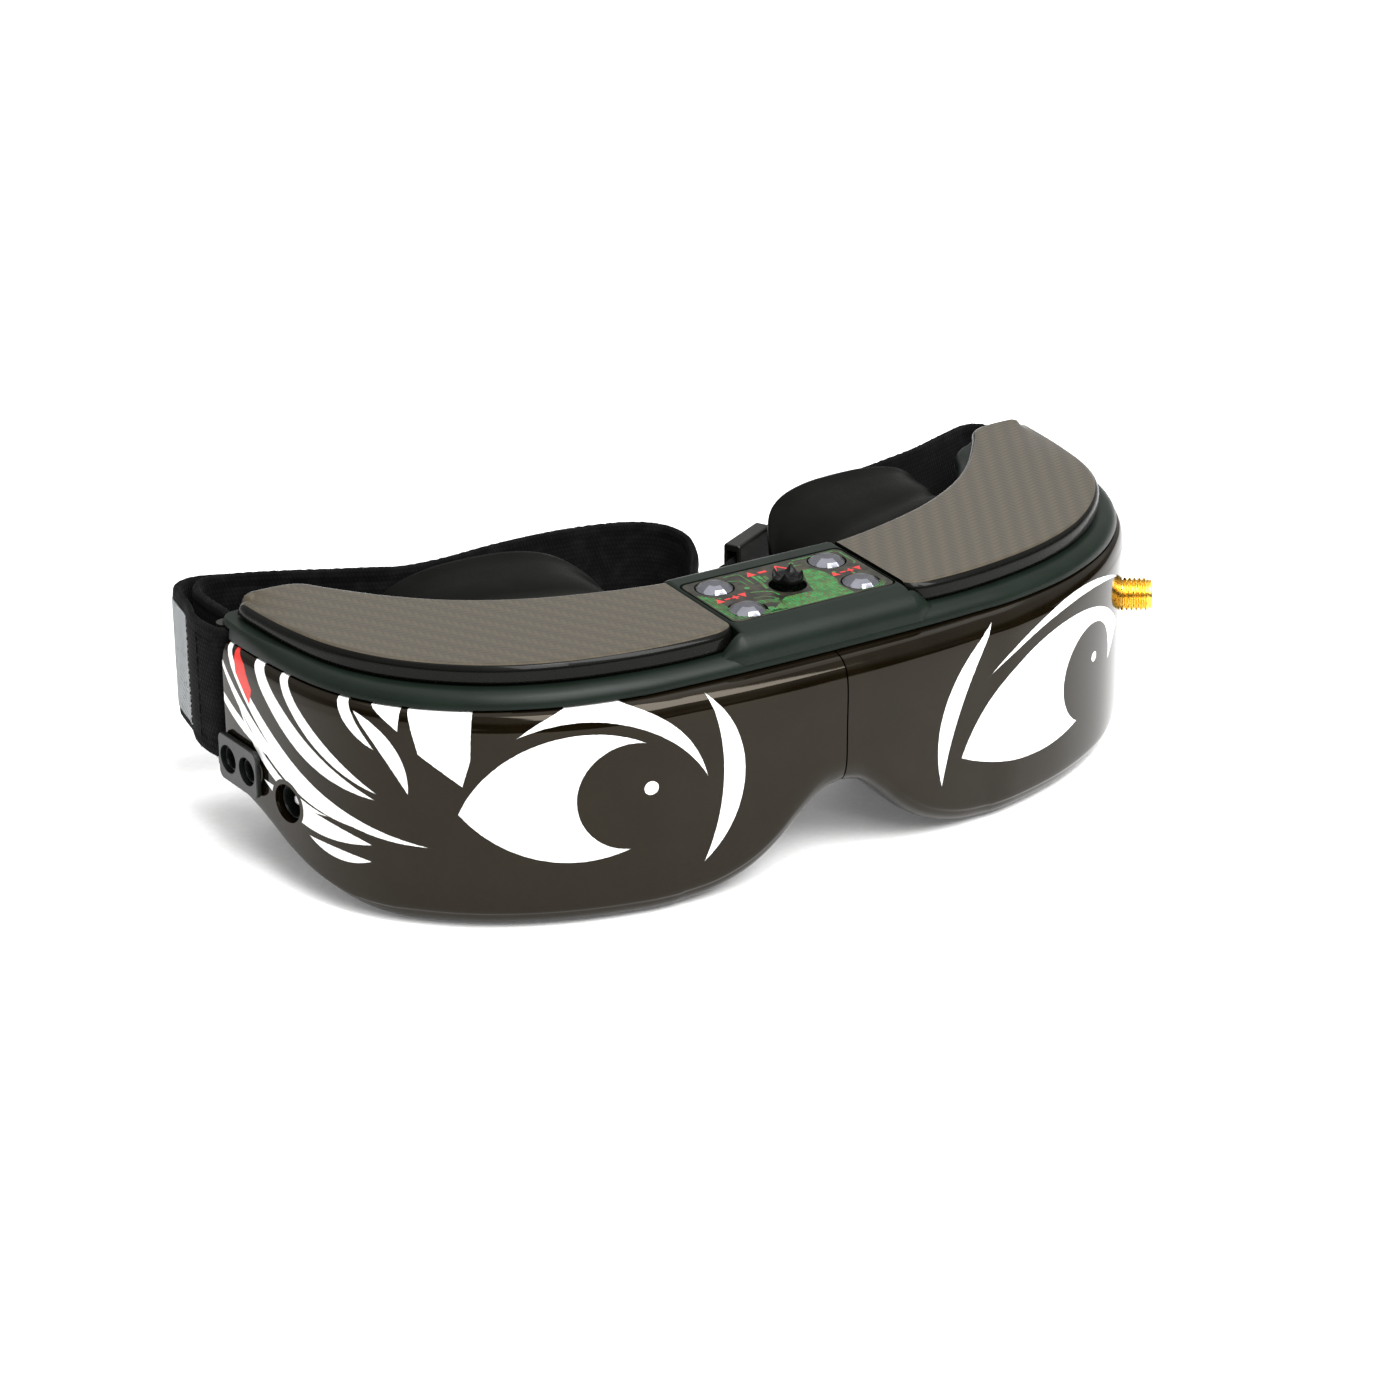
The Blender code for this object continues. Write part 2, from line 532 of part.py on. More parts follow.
def open_corners():
    """Cuts each shell's rear corner away, and the underside of the top cover above it, for the strap's loop."""
    for side, name in ((-1, "front_shell_left"), (1, "front_shell_right")):
        shell = bpy.data.objects[name]
        ends = sorted((side * CORNER_X, side * 96))
        boolean(shell, "DIFFERENCE", box("corner_cut", (ends[0], CORNER_Y, -5), (ends[1], 60, 50), None, CUTTERS))
        boolean(bpy.data.objects["top_cover"], "DIFFERENCE",
                box("roof_cut", (ends[0], CORNER_Y, 30), (ends[1], 60, CORNER_ROOF), None, CUTTERS))


# ---------------------------------------------------------------- sockets, modules and antenna jack

JACK_AT = (78.6, 6.6, 25.0)
JACK_AXIS = (0.852, -0.523, 0.0)
POWER_AT = (-85.4, 24.2, 16.6)
SIDE_AXIS = (-0.985, -0.17, 0.0)
AV_Y, AV_Z = (34.3, 40.5), 19.2
AV_AXIS = (-0.9953, -0.0966, 0.0)


def antenna_jack():
    """Threaded coaxial jack with its clamping nut, white insulator and centre contact."""
    pitch, turns, crest, root = 0.7, 8, 3.17, 2.8
    profile = [(3.4, -7.0), (3.4, -4.2), (root, -4.0), (root, -1.0)]
    for k in range(turns):
        profile += [(root, -1.0 + pitch * k), (crest, -1.0 + pitch * (k + 0.35)), (crest, -1.0 + pitch * (k + 0.65))]
    profile += [(root, -1.0 + pitch * turns), (root, 5.6)]
    jack = turned("antenna_jack", profile, JACK_AT, JACK_AXIS, GOLD)
    boolean(jack, "DIFFERENCE", cylinder("jack_bore", 2.25, (-5.5, 8), JACK_AT, JACK_AXIS, None, CUTTERS))
    insulator = cylinder("jack_insulator", 1.9, (-5.2, 4.0), JACK_AT, JACK_AXIS, WHITE)
    boolean(insulator, "DIFFERENCE",
            cylinder("insulator_bore", 0.75, (-7, 8), JACK_AT, JACK_AXIS, None, CUTTERS, sides=12))
    cylinder("jack_contact", 0.45, (-4.8, 3.6), JACK_AT, JACK_AXIS, GOLD, sides=12)
    nut = cylinder("antenna_nut", 4.6, (-3.2, -1.6), JACK_AT, JACK_AXIS, PLASTIC, sides=6)
    boolean(nut, "DIFFERENCE", cylinder("nut_bore", 3.5, (-5, 1), JACK_AT, JACK_AXIS, None, CUTTERS))
    shell = bpy.data.objects["front_shell_right"]
    boolean(shell, "DIFFERENCE", cylinder("jack_hole", 5.1, (-6, 5), JACK_AT, JACK_AXIS, None, CUTTERS))


def wall_point(y):
    """The point of the left wall at a distance from front to back."""
    return -86.7 - 0.097 * (y - 30.2), y


def side_sockets():
    """Power socket and the raised plate with two audio and video sockets, all on the left end."""
    shell = bpy.data.objects["front_shell_left"]
    holes = [(*wall_point(y), AV_Z) for y in AV_Y]
    cuts = [cylinder("power_cut", 3.5, (-7, 5), POWER_AT, SIDE_AXIS, None, CUTTERS)]
    cuts += [cylinder("av_cut", 2.8, (-7, 6), at, AV_AXIS, None, CUTTERS) for at in holes]
    boolean(shell, "DIFFERENCE", *cuts)
    barrel = cylinder("power_socket", 3.1, (-9.0, -0.9), POWER_AT, SIDE_AXIS, PLASTIC)
    boolean(barrel, "DIFFERENCE", cylinder("power_bore", 2.7, (-7.5, 3), POWER_AT, SIDE_AXIS, None, CUTTERS))
    turned("power_pin", [(1.0, -7.2), (1.0, -2.0), (0.7, -1.6)], POWER_AT, SIDE_AXIS, STEEL, sides=16)
    middle = Vector((*wall_point(sum(AV_Y) / 2), AV_Z))
    on_wall = Matrix.Translation(middle) @ Matrix.Rotation(math.atan2(AV_AXIS[1], AV_AXIS[0]), 4, "Z")
    raised = box("socket_plate", (0.4, -6.3, -4.4), (1.4, 6.3, 4.4), PLASTIC, upright="X", radius=1.4, place=on_wall)
    boolean(raised, "DIFFERENCE", *[cylinder("plate_hole", 2.6, (-5, 5), at, AV_AXIS, None, CUTTERS) for at in holes])
    for at, name in zip(holes, ("video_socket", "earphone_socket")):
        socket = cylinder(name, 2.3, (-11.0, 0.6), at, AV_AXIS, PLASTIC)
        boolean(socket, "DIFFERENCE", cylinder("socket_bore", 1.85, (-9.5, 3), at, AV_AXIS, None, CUTTERS,
                                             sides=16))


def modules():
    """The receiver under the right bay cover, the head tracker under the left one and the main board."""
    box("receiver_module", (58.4, 12.6, 26.0), (71.2, 27.2, 42.0), PLASTIC, bevel=0.6)
    box("tracker_module", (-71.2, 12.6, 32.0), (-58.4, 27.2, 42.0), PLASTIC, bevel=0.6)
    box("main_board", (-43.0, -10.8, 21.5), (43.0, -9.4, 35.5), BOARD)


# ---------------------------------------------------------------- eyecups

EYECUP_RIM = [(15.8, 21.0), (17.3, 32.0), (22.5, 40.8), (32.0, 44.2), (42.0, 45.0), (52.0, 44.8), (66.0, 45.6)]


def eyecup(side, name):
    """A flared rubber tube from the rear housing to the face, slanted back towards the temple."""
    half_wide, half_high, middle_x, middle_z = 22.0, 19.6, 38.4, 24.1
    steps, wall = 40, 1.3
    rear_line = smooth(REAR_LINE, 3)

    def ring(depth, shrink):
        made = []
        for k in range(steps):
            a = 2 * math.pi * k / steps
            u = math.copysign(abs(math.cos(a)) ** 0.62, math.cos(a))
            v = math.copysign(abs(math.sin(a)) ** 0.62, math.sin(a))
            grow = 1.0 + 0.03 * depth
            z = middle_z + (half_high - shrink) * v * grow
            inner = max(0.0, -u) * max(0.0, 0.45 - (z - 4) / 80) * 11
            x = middle_x + (half_wide - shrink) * u * grow + inner
            front = along(rear_line, x) + GAP + 0.15
            back = along(EYECUP_RIM, x) - 3.5 * (v < -0.3)
            made.append((side * x, front + (max(back, front + 3) - front) * depth, z))
        return made

    outer = [ring(d, 0.0) for d in (0.0, 0.5, 1.0)]
    inner = [ring(d, wall) for d in (1.0, 0.5, 0.0)]
    rows = outer + inner
    bm = rings_to_bmesh(rows + [rows[0]], caps=False)
    bmesh.ops.remove_doubles(bm, verts=bm.verts, dist=1e-4)
    return from_bmesh(name, bm, RUBBER)


# ---------------------------------------------------------------- strap

POST_X, POST_Y, POST_R = 85.3, 47.0, 1.5
# Route of the strap's middle from the free end on the left to the loop on the right: x, y and the
# height of the middle of the webbing.
STRAP_ROUTE = [
    (-47.4, 58.0, 27.4), (-54.0, 61.4, 27.4), (-63.0, 65.3, 27.5), (-73.0, 69.2, 27.7), (-80.4, 70.6, 28.2),
    (-84.8, 68.2, 28.6), (-86.2, 63.6, 29.0), (-87.0, 58.6, 29.2), (-88.3, 54.0, 29.3), (-88.4, 49.6, 29.3),
    (-87.4, 45.6, 29.3), (-85.3, 44.5, 29.3), (-83.1, 45.8, 29.3), (-82.8, 49.6, 29.3), (-83.0, 54.0, 29.3),
    (-83.4, 59.0, 29.3), (-82.8, 64.4, 29.2), (-79.6, 67.2, 29.2), (-74.0, 66.0, 29.2), (-66.0, 62.4, 29.2),
    (-57.0, 57.8, 29.2), (-48.6, 53.9, 29.2), (-40.0, 53.0, 29.2), (-28.0, 53.8, 29.2), (-14.7, 53.9, 29.0),
    (-3.0, 52.8, 28.4), (4.2, 50.4, 27.4), (7.4, 46.4, 26.0), (6.8, 42.0, 24.2), (4.4, 38.4, 22.8),
    (3.6, 35.8, 22.0), (5.2, 35.0, 21.9), (9.3, 37.3, 22.1)]
SLIDER_AT, SLIDER_DIRECTION = (18.5, 42.3), (0.877, 0.480)
SLIDER_REACH, SLIDER_MID = 8.5, 22.4
STRAP_RIGHT = [
    (28.1, 47.6, 22.6), (32.6, 49.4, 22.8), (37.0, 50.4, 24.4), (42.0, 50.9, 26.8), (48.0, 51.3, 28.4),
    (55.0, 52.0, 29.0), (64.0, 53.8, 29.2), (73.0, 57.0, 29.3), (79.4, 59.0, 29.3), (82.6, 57.4, 29.3), (83.0, 53.0, 29.3),
    (82.8, 49.4, 29.3), (83.1, 45.8, 29.3), (85.3, 44.5, 29.3), (87.4, 45.6, 29.3), (88.4, 49.6, 29.3),
    (88.3, 53.0, 29.3), (88.0, 56.2, 29.3)]


def strap_route():
    """The whole route, with a straight stretch where the slider runs."""
    at, direction = Vector(SLIDER_AT), Vector(SLIDER_DIRECTION)
    straight = [tuple(at + direction * d) + (SLIDER_MID + 0.03 * d,) for d in (-SLIDER_REACH, 0.0, SLIDER_REACH)]
    return STRAP_ROUTE + straight + STRAP_RIGHT


def strap():
    """Elastic webbing standing on its edge along the route."""
    route = [Vector(p) for p in smooth(strap_route(), 2)]
    rings = []
    for i, p in enumerate(route):
        ahead, behind = route[min(i + 1, len(route) - 1)], route[max(i - 1, 0)]
        tangent = (ahead - behind).xy.normalized()
        across = Vector((-tangent.y, tangent.x, 0)) * STRAP_THICK / 2
        up = Vector((0, 0, STRAP_WIDTH / 2))
        rings.append([tuple(p + across - up), tuple(p - across - up), tuple(p - across + up), tuple(p + across + up)])
    from_bmesh("head_strap", rings_to_bmesh(rings), ELASTIC)


def strap_anchor(side, tag):
    """A post on a foot in the open rear corner of the shell; the strap is looped round the post."""
    x = side * POST_X
    post = cylinder(f"strap_anchor_{tag}", POST_R, (15.0, CORNER_ROOF - GAP), (x, POST_Y, 0), (0, 0, 1), PLASTIC,
                    sides=16)
    ends = sorted((side * (CORNER_X + GAP), side * 87.0))
    foot = box("anchor_foot", (ends[0], CORNER_Y + GAP, 14.2), (ends[1], 49.4, 15.8), None, CUTTERS)
    return boolean(post, "UNION", foot)


def slider():
    """A closed frame on the strap's straight stretch."""
    turn = Matrix.Rotation(math.atan2(SLIDER_DIRECTION[1], SLIDER_DIRECTION[0]), 4, "Z")
    place = Matrix.Translation((*SLIDER_AT, SLIDER_MID)) @ turn
    frame = box("strap_slider", (-6.0, -1.75, -15.2), (6.0, 1.75, 15.2), PLASTIC, upright="X", radius=0.5, place=place)
    slot = box("slider_slot", (-20, -1.1, -13.9), (20, 1.1, 13.9), None, CUTTERS, place=place)
    return boolean(frame, "DIFFERENCE", slot)


# ---------------------------------------------------------------- screws

SCREWS = [("bottom_screw_1", (-54, 20)), ("bottom_screw_2", (54, 20)), ("bottom_screw_3", (-56, 3)),
          ("bottom_screw_4", (56, 3))]


def screws():
    """Countersunk screws in the underside, each in its own hole."""
    cover = bpy.data.objects["bottom_cover"]
    holes = [cylinder("screw_hole", 2.3, (-2, 5), (x, y, 0), (0, 0, 1), None, CUTTERS, sides=16)
             for _, (x, y) in SCREWS]
    slots = [box("knob_slot", (side * EYE_X - 6.6, 0.0, -3), (side * EYE_X + 6.6, 6.0, 9), None, CUTTERS)
             for side in (1, -1)]
    boolean(cover, "DIFFERENCE", *holes, *slots)
    for name, (x, y) in SCREWS:
        screw = turned(name, [(2.0, 0.3), (2.0, 1.1), (1.0, 1.9), (1.0, 6.5)], (x, y, 0), (0, 0, 1), STEEL, sides=16)
        boolean(screw, "DIFFERENCE",
                cylinder("hex_recess", 0.9, (-1, 1.0), (x, y, 0), (0, 0, 1), None, CUTTERS, sides=6))


def build():
    front_shell(-1, "front_shell_left")
    front_shell(1, "front_shell_right")
    top_cover()
    bottom_cover()
    rear_housing()
    bay_cover(-1, "bay_cover_left")
    bay_cover(1, "bay_cover_right")
    keypad()
    joystick()
    optics(-1, "left")
    optics(1, "right")
    guides()
    open_corners()
    antenna_jack()
    side_sockets()
    modules()
    eyecup(-1, "eyecup_left")
    eyecup(1, "eyecup_right")
    strap()
    strap_anchor(-1, "left")
    strap_anchor(1, "right")
    slider()
    screws()


build()
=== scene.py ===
"""Looks of the video goggles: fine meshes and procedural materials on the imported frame.

Shapes are worked out in millimetres in the goggles' own frame, and moved to the row frame when a
mesh is written. The goggles face -Y and +X is the wearer's left. Left and right in names are as
seen from the front.
"""

import json
import math

import bmesh
import bpy
from mathutils import Matrix, Vector

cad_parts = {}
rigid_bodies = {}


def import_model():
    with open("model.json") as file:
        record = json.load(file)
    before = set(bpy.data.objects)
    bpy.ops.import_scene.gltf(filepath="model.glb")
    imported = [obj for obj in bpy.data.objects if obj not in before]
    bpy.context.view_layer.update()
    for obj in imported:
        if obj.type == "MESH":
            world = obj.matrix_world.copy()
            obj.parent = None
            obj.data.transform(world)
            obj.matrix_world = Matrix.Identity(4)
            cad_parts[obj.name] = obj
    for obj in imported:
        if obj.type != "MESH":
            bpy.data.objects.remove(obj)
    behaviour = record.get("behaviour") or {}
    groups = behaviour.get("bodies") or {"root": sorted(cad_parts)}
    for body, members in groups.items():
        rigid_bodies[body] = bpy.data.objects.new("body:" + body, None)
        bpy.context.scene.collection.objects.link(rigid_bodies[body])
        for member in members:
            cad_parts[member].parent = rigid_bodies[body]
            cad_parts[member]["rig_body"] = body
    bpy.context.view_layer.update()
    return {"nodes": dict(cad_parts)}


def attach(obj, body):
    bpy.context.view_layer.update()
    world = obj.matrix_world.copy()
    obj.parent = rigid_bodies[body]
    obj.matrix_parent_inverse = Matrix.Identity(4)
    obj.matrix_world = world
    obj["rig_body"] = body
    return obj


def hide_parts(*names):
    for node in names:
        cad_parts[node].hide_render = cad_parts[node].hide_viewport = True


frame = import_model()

NODES = frame["nodes"]

MM = 0.001
SHIFT = -26.03   # from the goggles' own frame to the row frame, along Y
UP = (0, 0, 1)
SIDES = ((-1, "left"), (1, "right"))

# Heights of the bridge, the keypad's film, the rim and the front shells' top, then thicknesses and the gap of a fit.
TOP, RIM_TOP, SHELL_TOP = 47.0, 43.2, 40.0
FILM = TOP - 0.1
WALL, FLOOR, GAP = 1.8, 1.6, 0.3
EYE_X, EYE_Z = 32.0, 23.0
SHELL_END = 73.0
BRIDGE_HALF, BRIDGE_BASE = 17.4, 41.5
KEY_X, KEY_Y, KEY_R = 11.6, 5.4, 3.25
KEY_PLACES = [(x, y) for x in (KEY_X, -KEY_X) for y in (KEY_Y, -KEY_Y)]
STICK_HOLE = 3.4

JOINT_LINE = [(0, -15.4), (7.0, -15.37), (14.0, -15.27), (21.6, -15.1), (30.0, -14.7), (38.9, -14.0),
              (51.3, -11.1), (62.4, -6.1), (71.2, 0.4), (77.9, 8.2), (82.4, 17.8), (85.1, 30.2), (86.5, 43.5),
              (85.6, 47.4), (82.4, 48.7), (73.0, 48.7)]
WIDE_LINE = [(0, -19.3), (7.0, -19.24), (14.0, -19.05), (21.6, -18.7), (30.0, -18.0), (38.9, -17.0),
             (51.6, -13.4), (63.4, -7.6), (72.6, -0.3), (79.4, 7.8), (84.1, 17.7), (86.7, 30.2), (88.0, 43.6),
             (86.8, 48.4), (83.2, 49.7), (73.0, 49.7)]
LOWER_LINE = [(0, -11.6), (7.0, -11.55), (14.0, -11.4), (21.6, -11.0), (29.5, -10.3), (37.2, -9.4), (48.8, -6.2),
              (59.6, -0.8), (67.6, 5.6), (73.0, 12.4), (76.8, 20.6), (78.9, 31.4), (79.6, 40.6), (79.0, 44.6),
              (77.0, 46.8), (73.0, 47.6)]
REAR_LINE = [(0, 14.0), (16.0, 14.6), (27.0, 17.0), (40.0, 20.8), (50.5, 26.3), (58.5, 33.2), (64.6, 40.6),
             (67.6, 45.8), (69.3, 47.2), (71.4, 47.8)]
COVER_FRONT = [(17.8, -11.9), (28.0, -12.0), (38.2, -10.9), (49.4, -8.3), (59.6, -3.9), (68.4, 2.6),
               (75.2, 10.4), (79.7, 19.4), (82.4, 30.6), (83.8, 41.6), (83.7, 45.0)]
COVER_REAR = [(17.8, 12.4), (27.6, 14.5), (40.4, 18.6), (51.6, 24.6), (60.4, 32.0), (67.8, 40.6), (71.2, 45.0),
              (75.4, 46.3), (81.6, 46.3)]
NOSE_FRONT = [(0, 15.8), (4.5, 14.6), (9.0, 11.0), (13.0, 7.2), (17.0, 4.3), (21.0, 2.4), (26.0, 0.9),
              (32.0, 0.2), (38.0, 0.0), (90.0, 0.0)]
NOSE_REAR = [(0, 23.5), (6.0, 22.4), (11.0, 18.6), (15.0, 13.0), (19.0, 8.0), (24.0, 4.2), (30.0, 1.5),
             (36.0, 0.2), (42.0, 0.0), (90.0, 0.0)]
TEMPLE_LIFT = [(-20.0, 0.0), (0.0, 0.0), (5.4, 0.2), (11.0, 1.4), (17.3, 4.0), (22.7, 6.6), (31.3, 10.6),
               (37.8, 12.4), (46.4, 13.6), (60.0, 14.0)]
SHOULDER = [(0.0, SHELL_TOP), (0.5, SHELL_TOP - 0.7), (0.85, SHELL_TOP - 2.4), (1.0, SHELL_TOP - 5.5)]
ROLL = [(0.0, 5.6), (0.06, 2.9), (0.17, 1.35), (0.36, 0.45), (0.62, 0.08), (1.0, 0.0)]

JACK_AT, JACK_AXIS = (78.6, 6.6, 25.0), (0.852, -0.523, 0.0)
POWER_AT, SIDE_AXIS = (-85.4, 24.2, 16.6), (-0.985, -0.17, 0.0)
AV_Y, AV_Z, AV_AXIS = (34.3, 40.5), 19.2, (-0.9953, -0.0966, 0.0)
# The open corner behind each temple, where the strap's post stands; FAR_X and FAR_Y are past every wall.
CORNER_X, CORNER_Y, CORNER_ROOF = 81.0, 43.0, 42.2
FAR_X, FAR_Y = 96, 60


# ---------------------------------------------------------------- curves and meshes

def smooth(points, per_span):
    """Points along a Catmull-Rom curve through the given points."""
    ends = [[2 * a - b for a, b in zip(points[0], points[1])], [2 * a - b for a, b in zip(points[-1], points[-2])]]
    p = [ends[0], *points, ends[1]]
    made = []
    for i in range(1, len(p) - 2):
        for k in range(per_span):
            t = k / per_span
            made.append(tuple(
                0.5 * (2 * b + (c - a) * t + (2 * a - 5 * b + 4 * c - d) * t * t + (3 * b - a - 3 * c + d) * t ** 3)
                for a, b, c, d in zip(p[i - 1], p[i], p[i + 1], p[i + 2])))
    return made + [tuple(points[-1])]


def along(table, x):
    """The second value of a table at x, straight between its points."""
    if x <= table[0][0]:
        return table[0][1]
    for (x0, y0), (x1, y1) in zip(table, table[1:]):
        if x <= x1:
            return y0 + (y1 - y0) * (x - x0) / (x1 - x0)
    return table[-1][1]


SHARP = 32.0   # degrees between faces from which an edge stays sharp
FINE_FRONT, FINE_REAR = smooth(NOSE_FRONT, 8), smooth(NOSE_REAR, 8)
FINE_LIFT = smooth(TEMPLE_LIFT, 4)


def ease(value, low, high):
    t = min(max((value - low) / (high - low), 0.0), 1.0)
    return t * t * (3 - 2 * t)


def mix(a, b, share):
    return tuple(p + (q - p) * share for p, q in zip(a, b))


def at_share(line, share):
    position = share * (len(line) - 1)
    i = min(int(position), len(line) - 2)
    return mix(line[i], line[i + 1], position - i)


def even(line, count):
    """The line again, as count + 1 points an equal distance apart."""
    gone = [0.0]
    for a, b in zip(line, line[1:]):
        gone.append(gone[-1] + math.dist(a, b))
    made, i = [], 0
    for k in range(count + 1):
        want = gone[-1] * k / count
        while i < len(line) - 2 and gone[i + 1] < want:
            i += 1
        made.append(mix(line[i], line[i + 1], (want - gone[i]) / max(gone[i + 1] - gone[i], 1e-9)))
    return made


def underside(x, y):
    """Height of the bottom: arched over the nose, flat under the optics, climbing to the temples."""
    back = ease(y, -11.0, 14.0)
    nose = along(FINE_FRONT, abs(x)) * (1 - back) + along(FINE_REAR, abs(x)) * back
    return max(nose, 0.0) + along(FINE_LIFT, y) * ease(abs(x), 60.0, 79.0)


WIDE_FINE = smooth(WIDE_LINE, 12)
WIDE_REACH = [0.0]
for _a, _b in zip(WIDE_FINE, WIDE_FINE[1:]):
    WIDE_REACH.append(WIDE_REACH[-1] + math.dist(_a, _b))


def distance_round(x, y):
    """Distance along the widest line from the middle of the front to the point nearest (x, y)."""
    best = (1e9, 0.0)
    for (x0, y0), (x1, y1), gone in zip(WIDE_FINE, WIDE_FINE[1:], WIDE_REACH):
        dx, dy = x1 - x0, y1 - y0
        length = math.hypot(dx, dy)
        t = min(max(((x - x0) * dx + (y - y0) * dy) / length ** 2, 0.0), 1.0)
        best = min(best, (math.hypot(x - x0 - dx * t, y - y0 - dy * t), gone + t * length))
    return best[1]


def offset_line(line, distance):
    """An open line moved to its left."""
    made = []
    for i, (x, y) in enumerate(line):
        ahead, behind = line[min(i + 1, len(line) - 1)], line[max(i - 1, 0)]
        tangent = Vector((ahead[0] - behind[0], ahead[1] - behind[1])).normalized()
        made.append((x - tangent.y * distance, y + tangent.x * distance))
    return made


def inset(outline, distance):
    """A closed counter-clockwise outline moved inwards, less towards the tight corners at the temples."""
    made = []
    count = len(outline)
    for i, (x, y) in enumerate(outline):
        ahead, behind = outline[(i + 1) % count], outline[i - 1]
        tangent = Vector((ahead[0] - behind[0], ahead[1] - behind[1])).normalized()
        reach = distance * (1 - 0.72 * ease(abs(x), 62.0, 74.0) * ease(y, 20.0, 40.0))
        made.append((x - tangent.y * reach, y + tangent.x * reach))

    def folds(i):
        """Whether a side of the outline has turned back on itself or nearly vanished."""
        now, was = Vector(made[i]) - Vector(made[i - 1]), Vector(outline[i]) - Vector(outline[i - 1])
        return now.dot(was) < 0.12 * was.dot(was)

    for _ in range(60):
        folded = [i for i in range(count) if folds(i)]
        if not folded:
            break
        for i in sorted({(i + k) % count for i in folded for k in (-2, -1, 0, 1)}):
            made[i] = mix(made[i - 1], made[(i + 1) % count], 0.5)
    return made


JACK_REACH = distance_round(JACK_AT[0], JACK_AT[1])
POWER_REACH = distance_round(-POWER_AT[0], POWER_AT[1])


def mirrored(right_half):
    """A closed outline from its right half."""
    return right_half + [(-x, y) for x, y in reversed(right_half) if x > 0.01]


def finish_mesh(mesh, angle=SHARP):
    mesh.shade_smooth()
    mesh.set_sharp_from_angle(angle=math.radians(angle))


def from_bmesh(name, bm, angle=SHARP):
    """A new object in the row frame from a bmesh in millimetres."""
    bm.normal_update()
    bmesh.ops.recalc_face_normals(bm, faces=bm.faces)
    bm.transform(Matrix.Scale(MM, 4) @ Matrix.Translation((0, SHIFT, 0)))
    mesh = bpy.data.meshes.new(name)
    bm.to_mesh(mesh)
    bm.free()
    finish_mesh(mesh, angle)
    obj = bpy.data.objects.new(name, mesh)
    bpy.context.scene.collection.objects.link(obj)
    return obj


def write_vectors(obj, name, values):
    """Stores a vector on each corner, for a material to read."""
    data = obj.data.attributes.new(name, "FLOAT_VECTOR", "POINT").data
    for item, value in zip(data, values):
        item.vector = value


def turns(sides):
    """The angles of equal steps once round."""
    return [2 * math.pi * k / sides for k in range(sides)]


def rings(rows, join_ends=False):
    """Faces between successive rings of points, with both ends closed or joined to each other."""
    bm = bmesh.new()
    made = [[bm.verts.new(p) for p in ring] for ring in rows]
    count = len(made[0])
    pairs = list(zip(made, made[1:])) + ([(made[-1], made[0])] if join_ends else [])
    for lower, upper in pairs:
        for i in range(count):
            j = (i + 1) % count
            bm.faces.new((lower[i], lower[j], upper[j], upper[i]))
    if not join_ends:
        bm.faces.new(made[0])
        bm.faces.new(made[-1])
    return bm


def box(name, low, high, bevel=0.0, upright=None, radius=0.0, place=Matrix()):
    """A box, with its edges along the upright axis rounded to radius and the other edges to bevel."""
    bm = bmesh.new()
    bmesh.ops.create_cube(bm, size=1.0)
    bmesh.ops.scale(bm, vec=[b - a for a, b in zip(low, high)], verts=bm.verts)
    bmesh.ops.translate(bm, vec=[(a + b) / 2 for a, b in zip(low, high)], verts=bm.verts)
    if upright:
        k = "XYZ".index(upright)
        edges = [e for e in bm.edges if abs((e.verts[0].co - e.verts[1].co)[k]) > 0.9 * e.calc_length()]
        bmesh.ops.bevel(bm, geom=edges, offset=radius, segments=8, profile=0.5, affect="EDGES")
    if bevel:
        sharp = [e for e in bm.edges if len(e.link_faces) == 2 and e.calc_face_angle() > 0.6]
        bmesh.ops.bevel(bm, geom=sharp, offset=bevel, segments=3, profile=0.5, affect="EDGES")
    bm.transform(place)
    return from_bmesh(name, bm)


def round_rect(half_x, half_z, radius, steps):
    made = []
    for corner in range(4):
        cx = (half_x - radius) * (1 if corner in (0, 3) else -1)
        cz = (half_z - radius) * (1 if corner in (0, 1) else -1)
        for k in range(steps + 1):
            angle = math.radians(90 * corner + 90 * k / steps)
            made.append((cx + radius * math.cos(angle), cz + radius * math.sin(angle)))
    return made


def placed(at, axis):
    turn = Vector((0, 0, 1)).rotation_difference(Vector(axis).normalized())
    return Matrix.Translation(at) @ turn.to_matrix().to_4x4()


def turned(name, profile, at, axis, sides=64):
    """A turned solid: profile lists (radius, distance along axis) from one end to the other."""
    bm = rings([[(r * math.cos(a), r * math.sin(a), z) for a in turns(sides)] for r, z in profile])
    bm.transform(placed(at, axis))
    return from_bmesh(name, bm)


def cylinder(name, radius, ends, at, axis=UP, sides=64, bevel=0.0):
    start, end = ends
    profile = [(radius, start), (radius, end)]
    if bevel:
        profile = [(radius - bevel, start), (radius, start + bevel), (radius, end - bevel), (radius - bevel, end)]
    return turned(name, profile, at, axis, sides)


def corner_cut(side, low, high):
    """The open corner behind one temple, from one height to another, as a cutter."""
    near, far = sorted((side * CORNER_X, side * FAR_X))
    return box("cut", (near, CORNER_Y, low), (far, FAR_Y, high))


def boolean(target, operation, *others):
    """Applies a Boolean with each other object, and removes those objects."""
    for other in others:
        change = target.modifiers.new(operation.title(), "BOOLEAN")
        change.operation, change.object, change.solver = operation, other, "EXACT"
    bpy.context.view_layer.update()
    made = bpy.data.meshes.new_from_object(target.evaluated_get(bpy.context.evaluated_depsgraph_get()))
    target.modifiers.clear()
    target.data = made
    for other in others:
        bpy.data.objects.remove(other)
    finish_mesh(target.data)


def ride_along(obj, material, body="housing"):
    """obj is an added detail on a body."""
    obj.data.materials.clear()
    obj.data.materials.append(material)
    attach(obj, body)


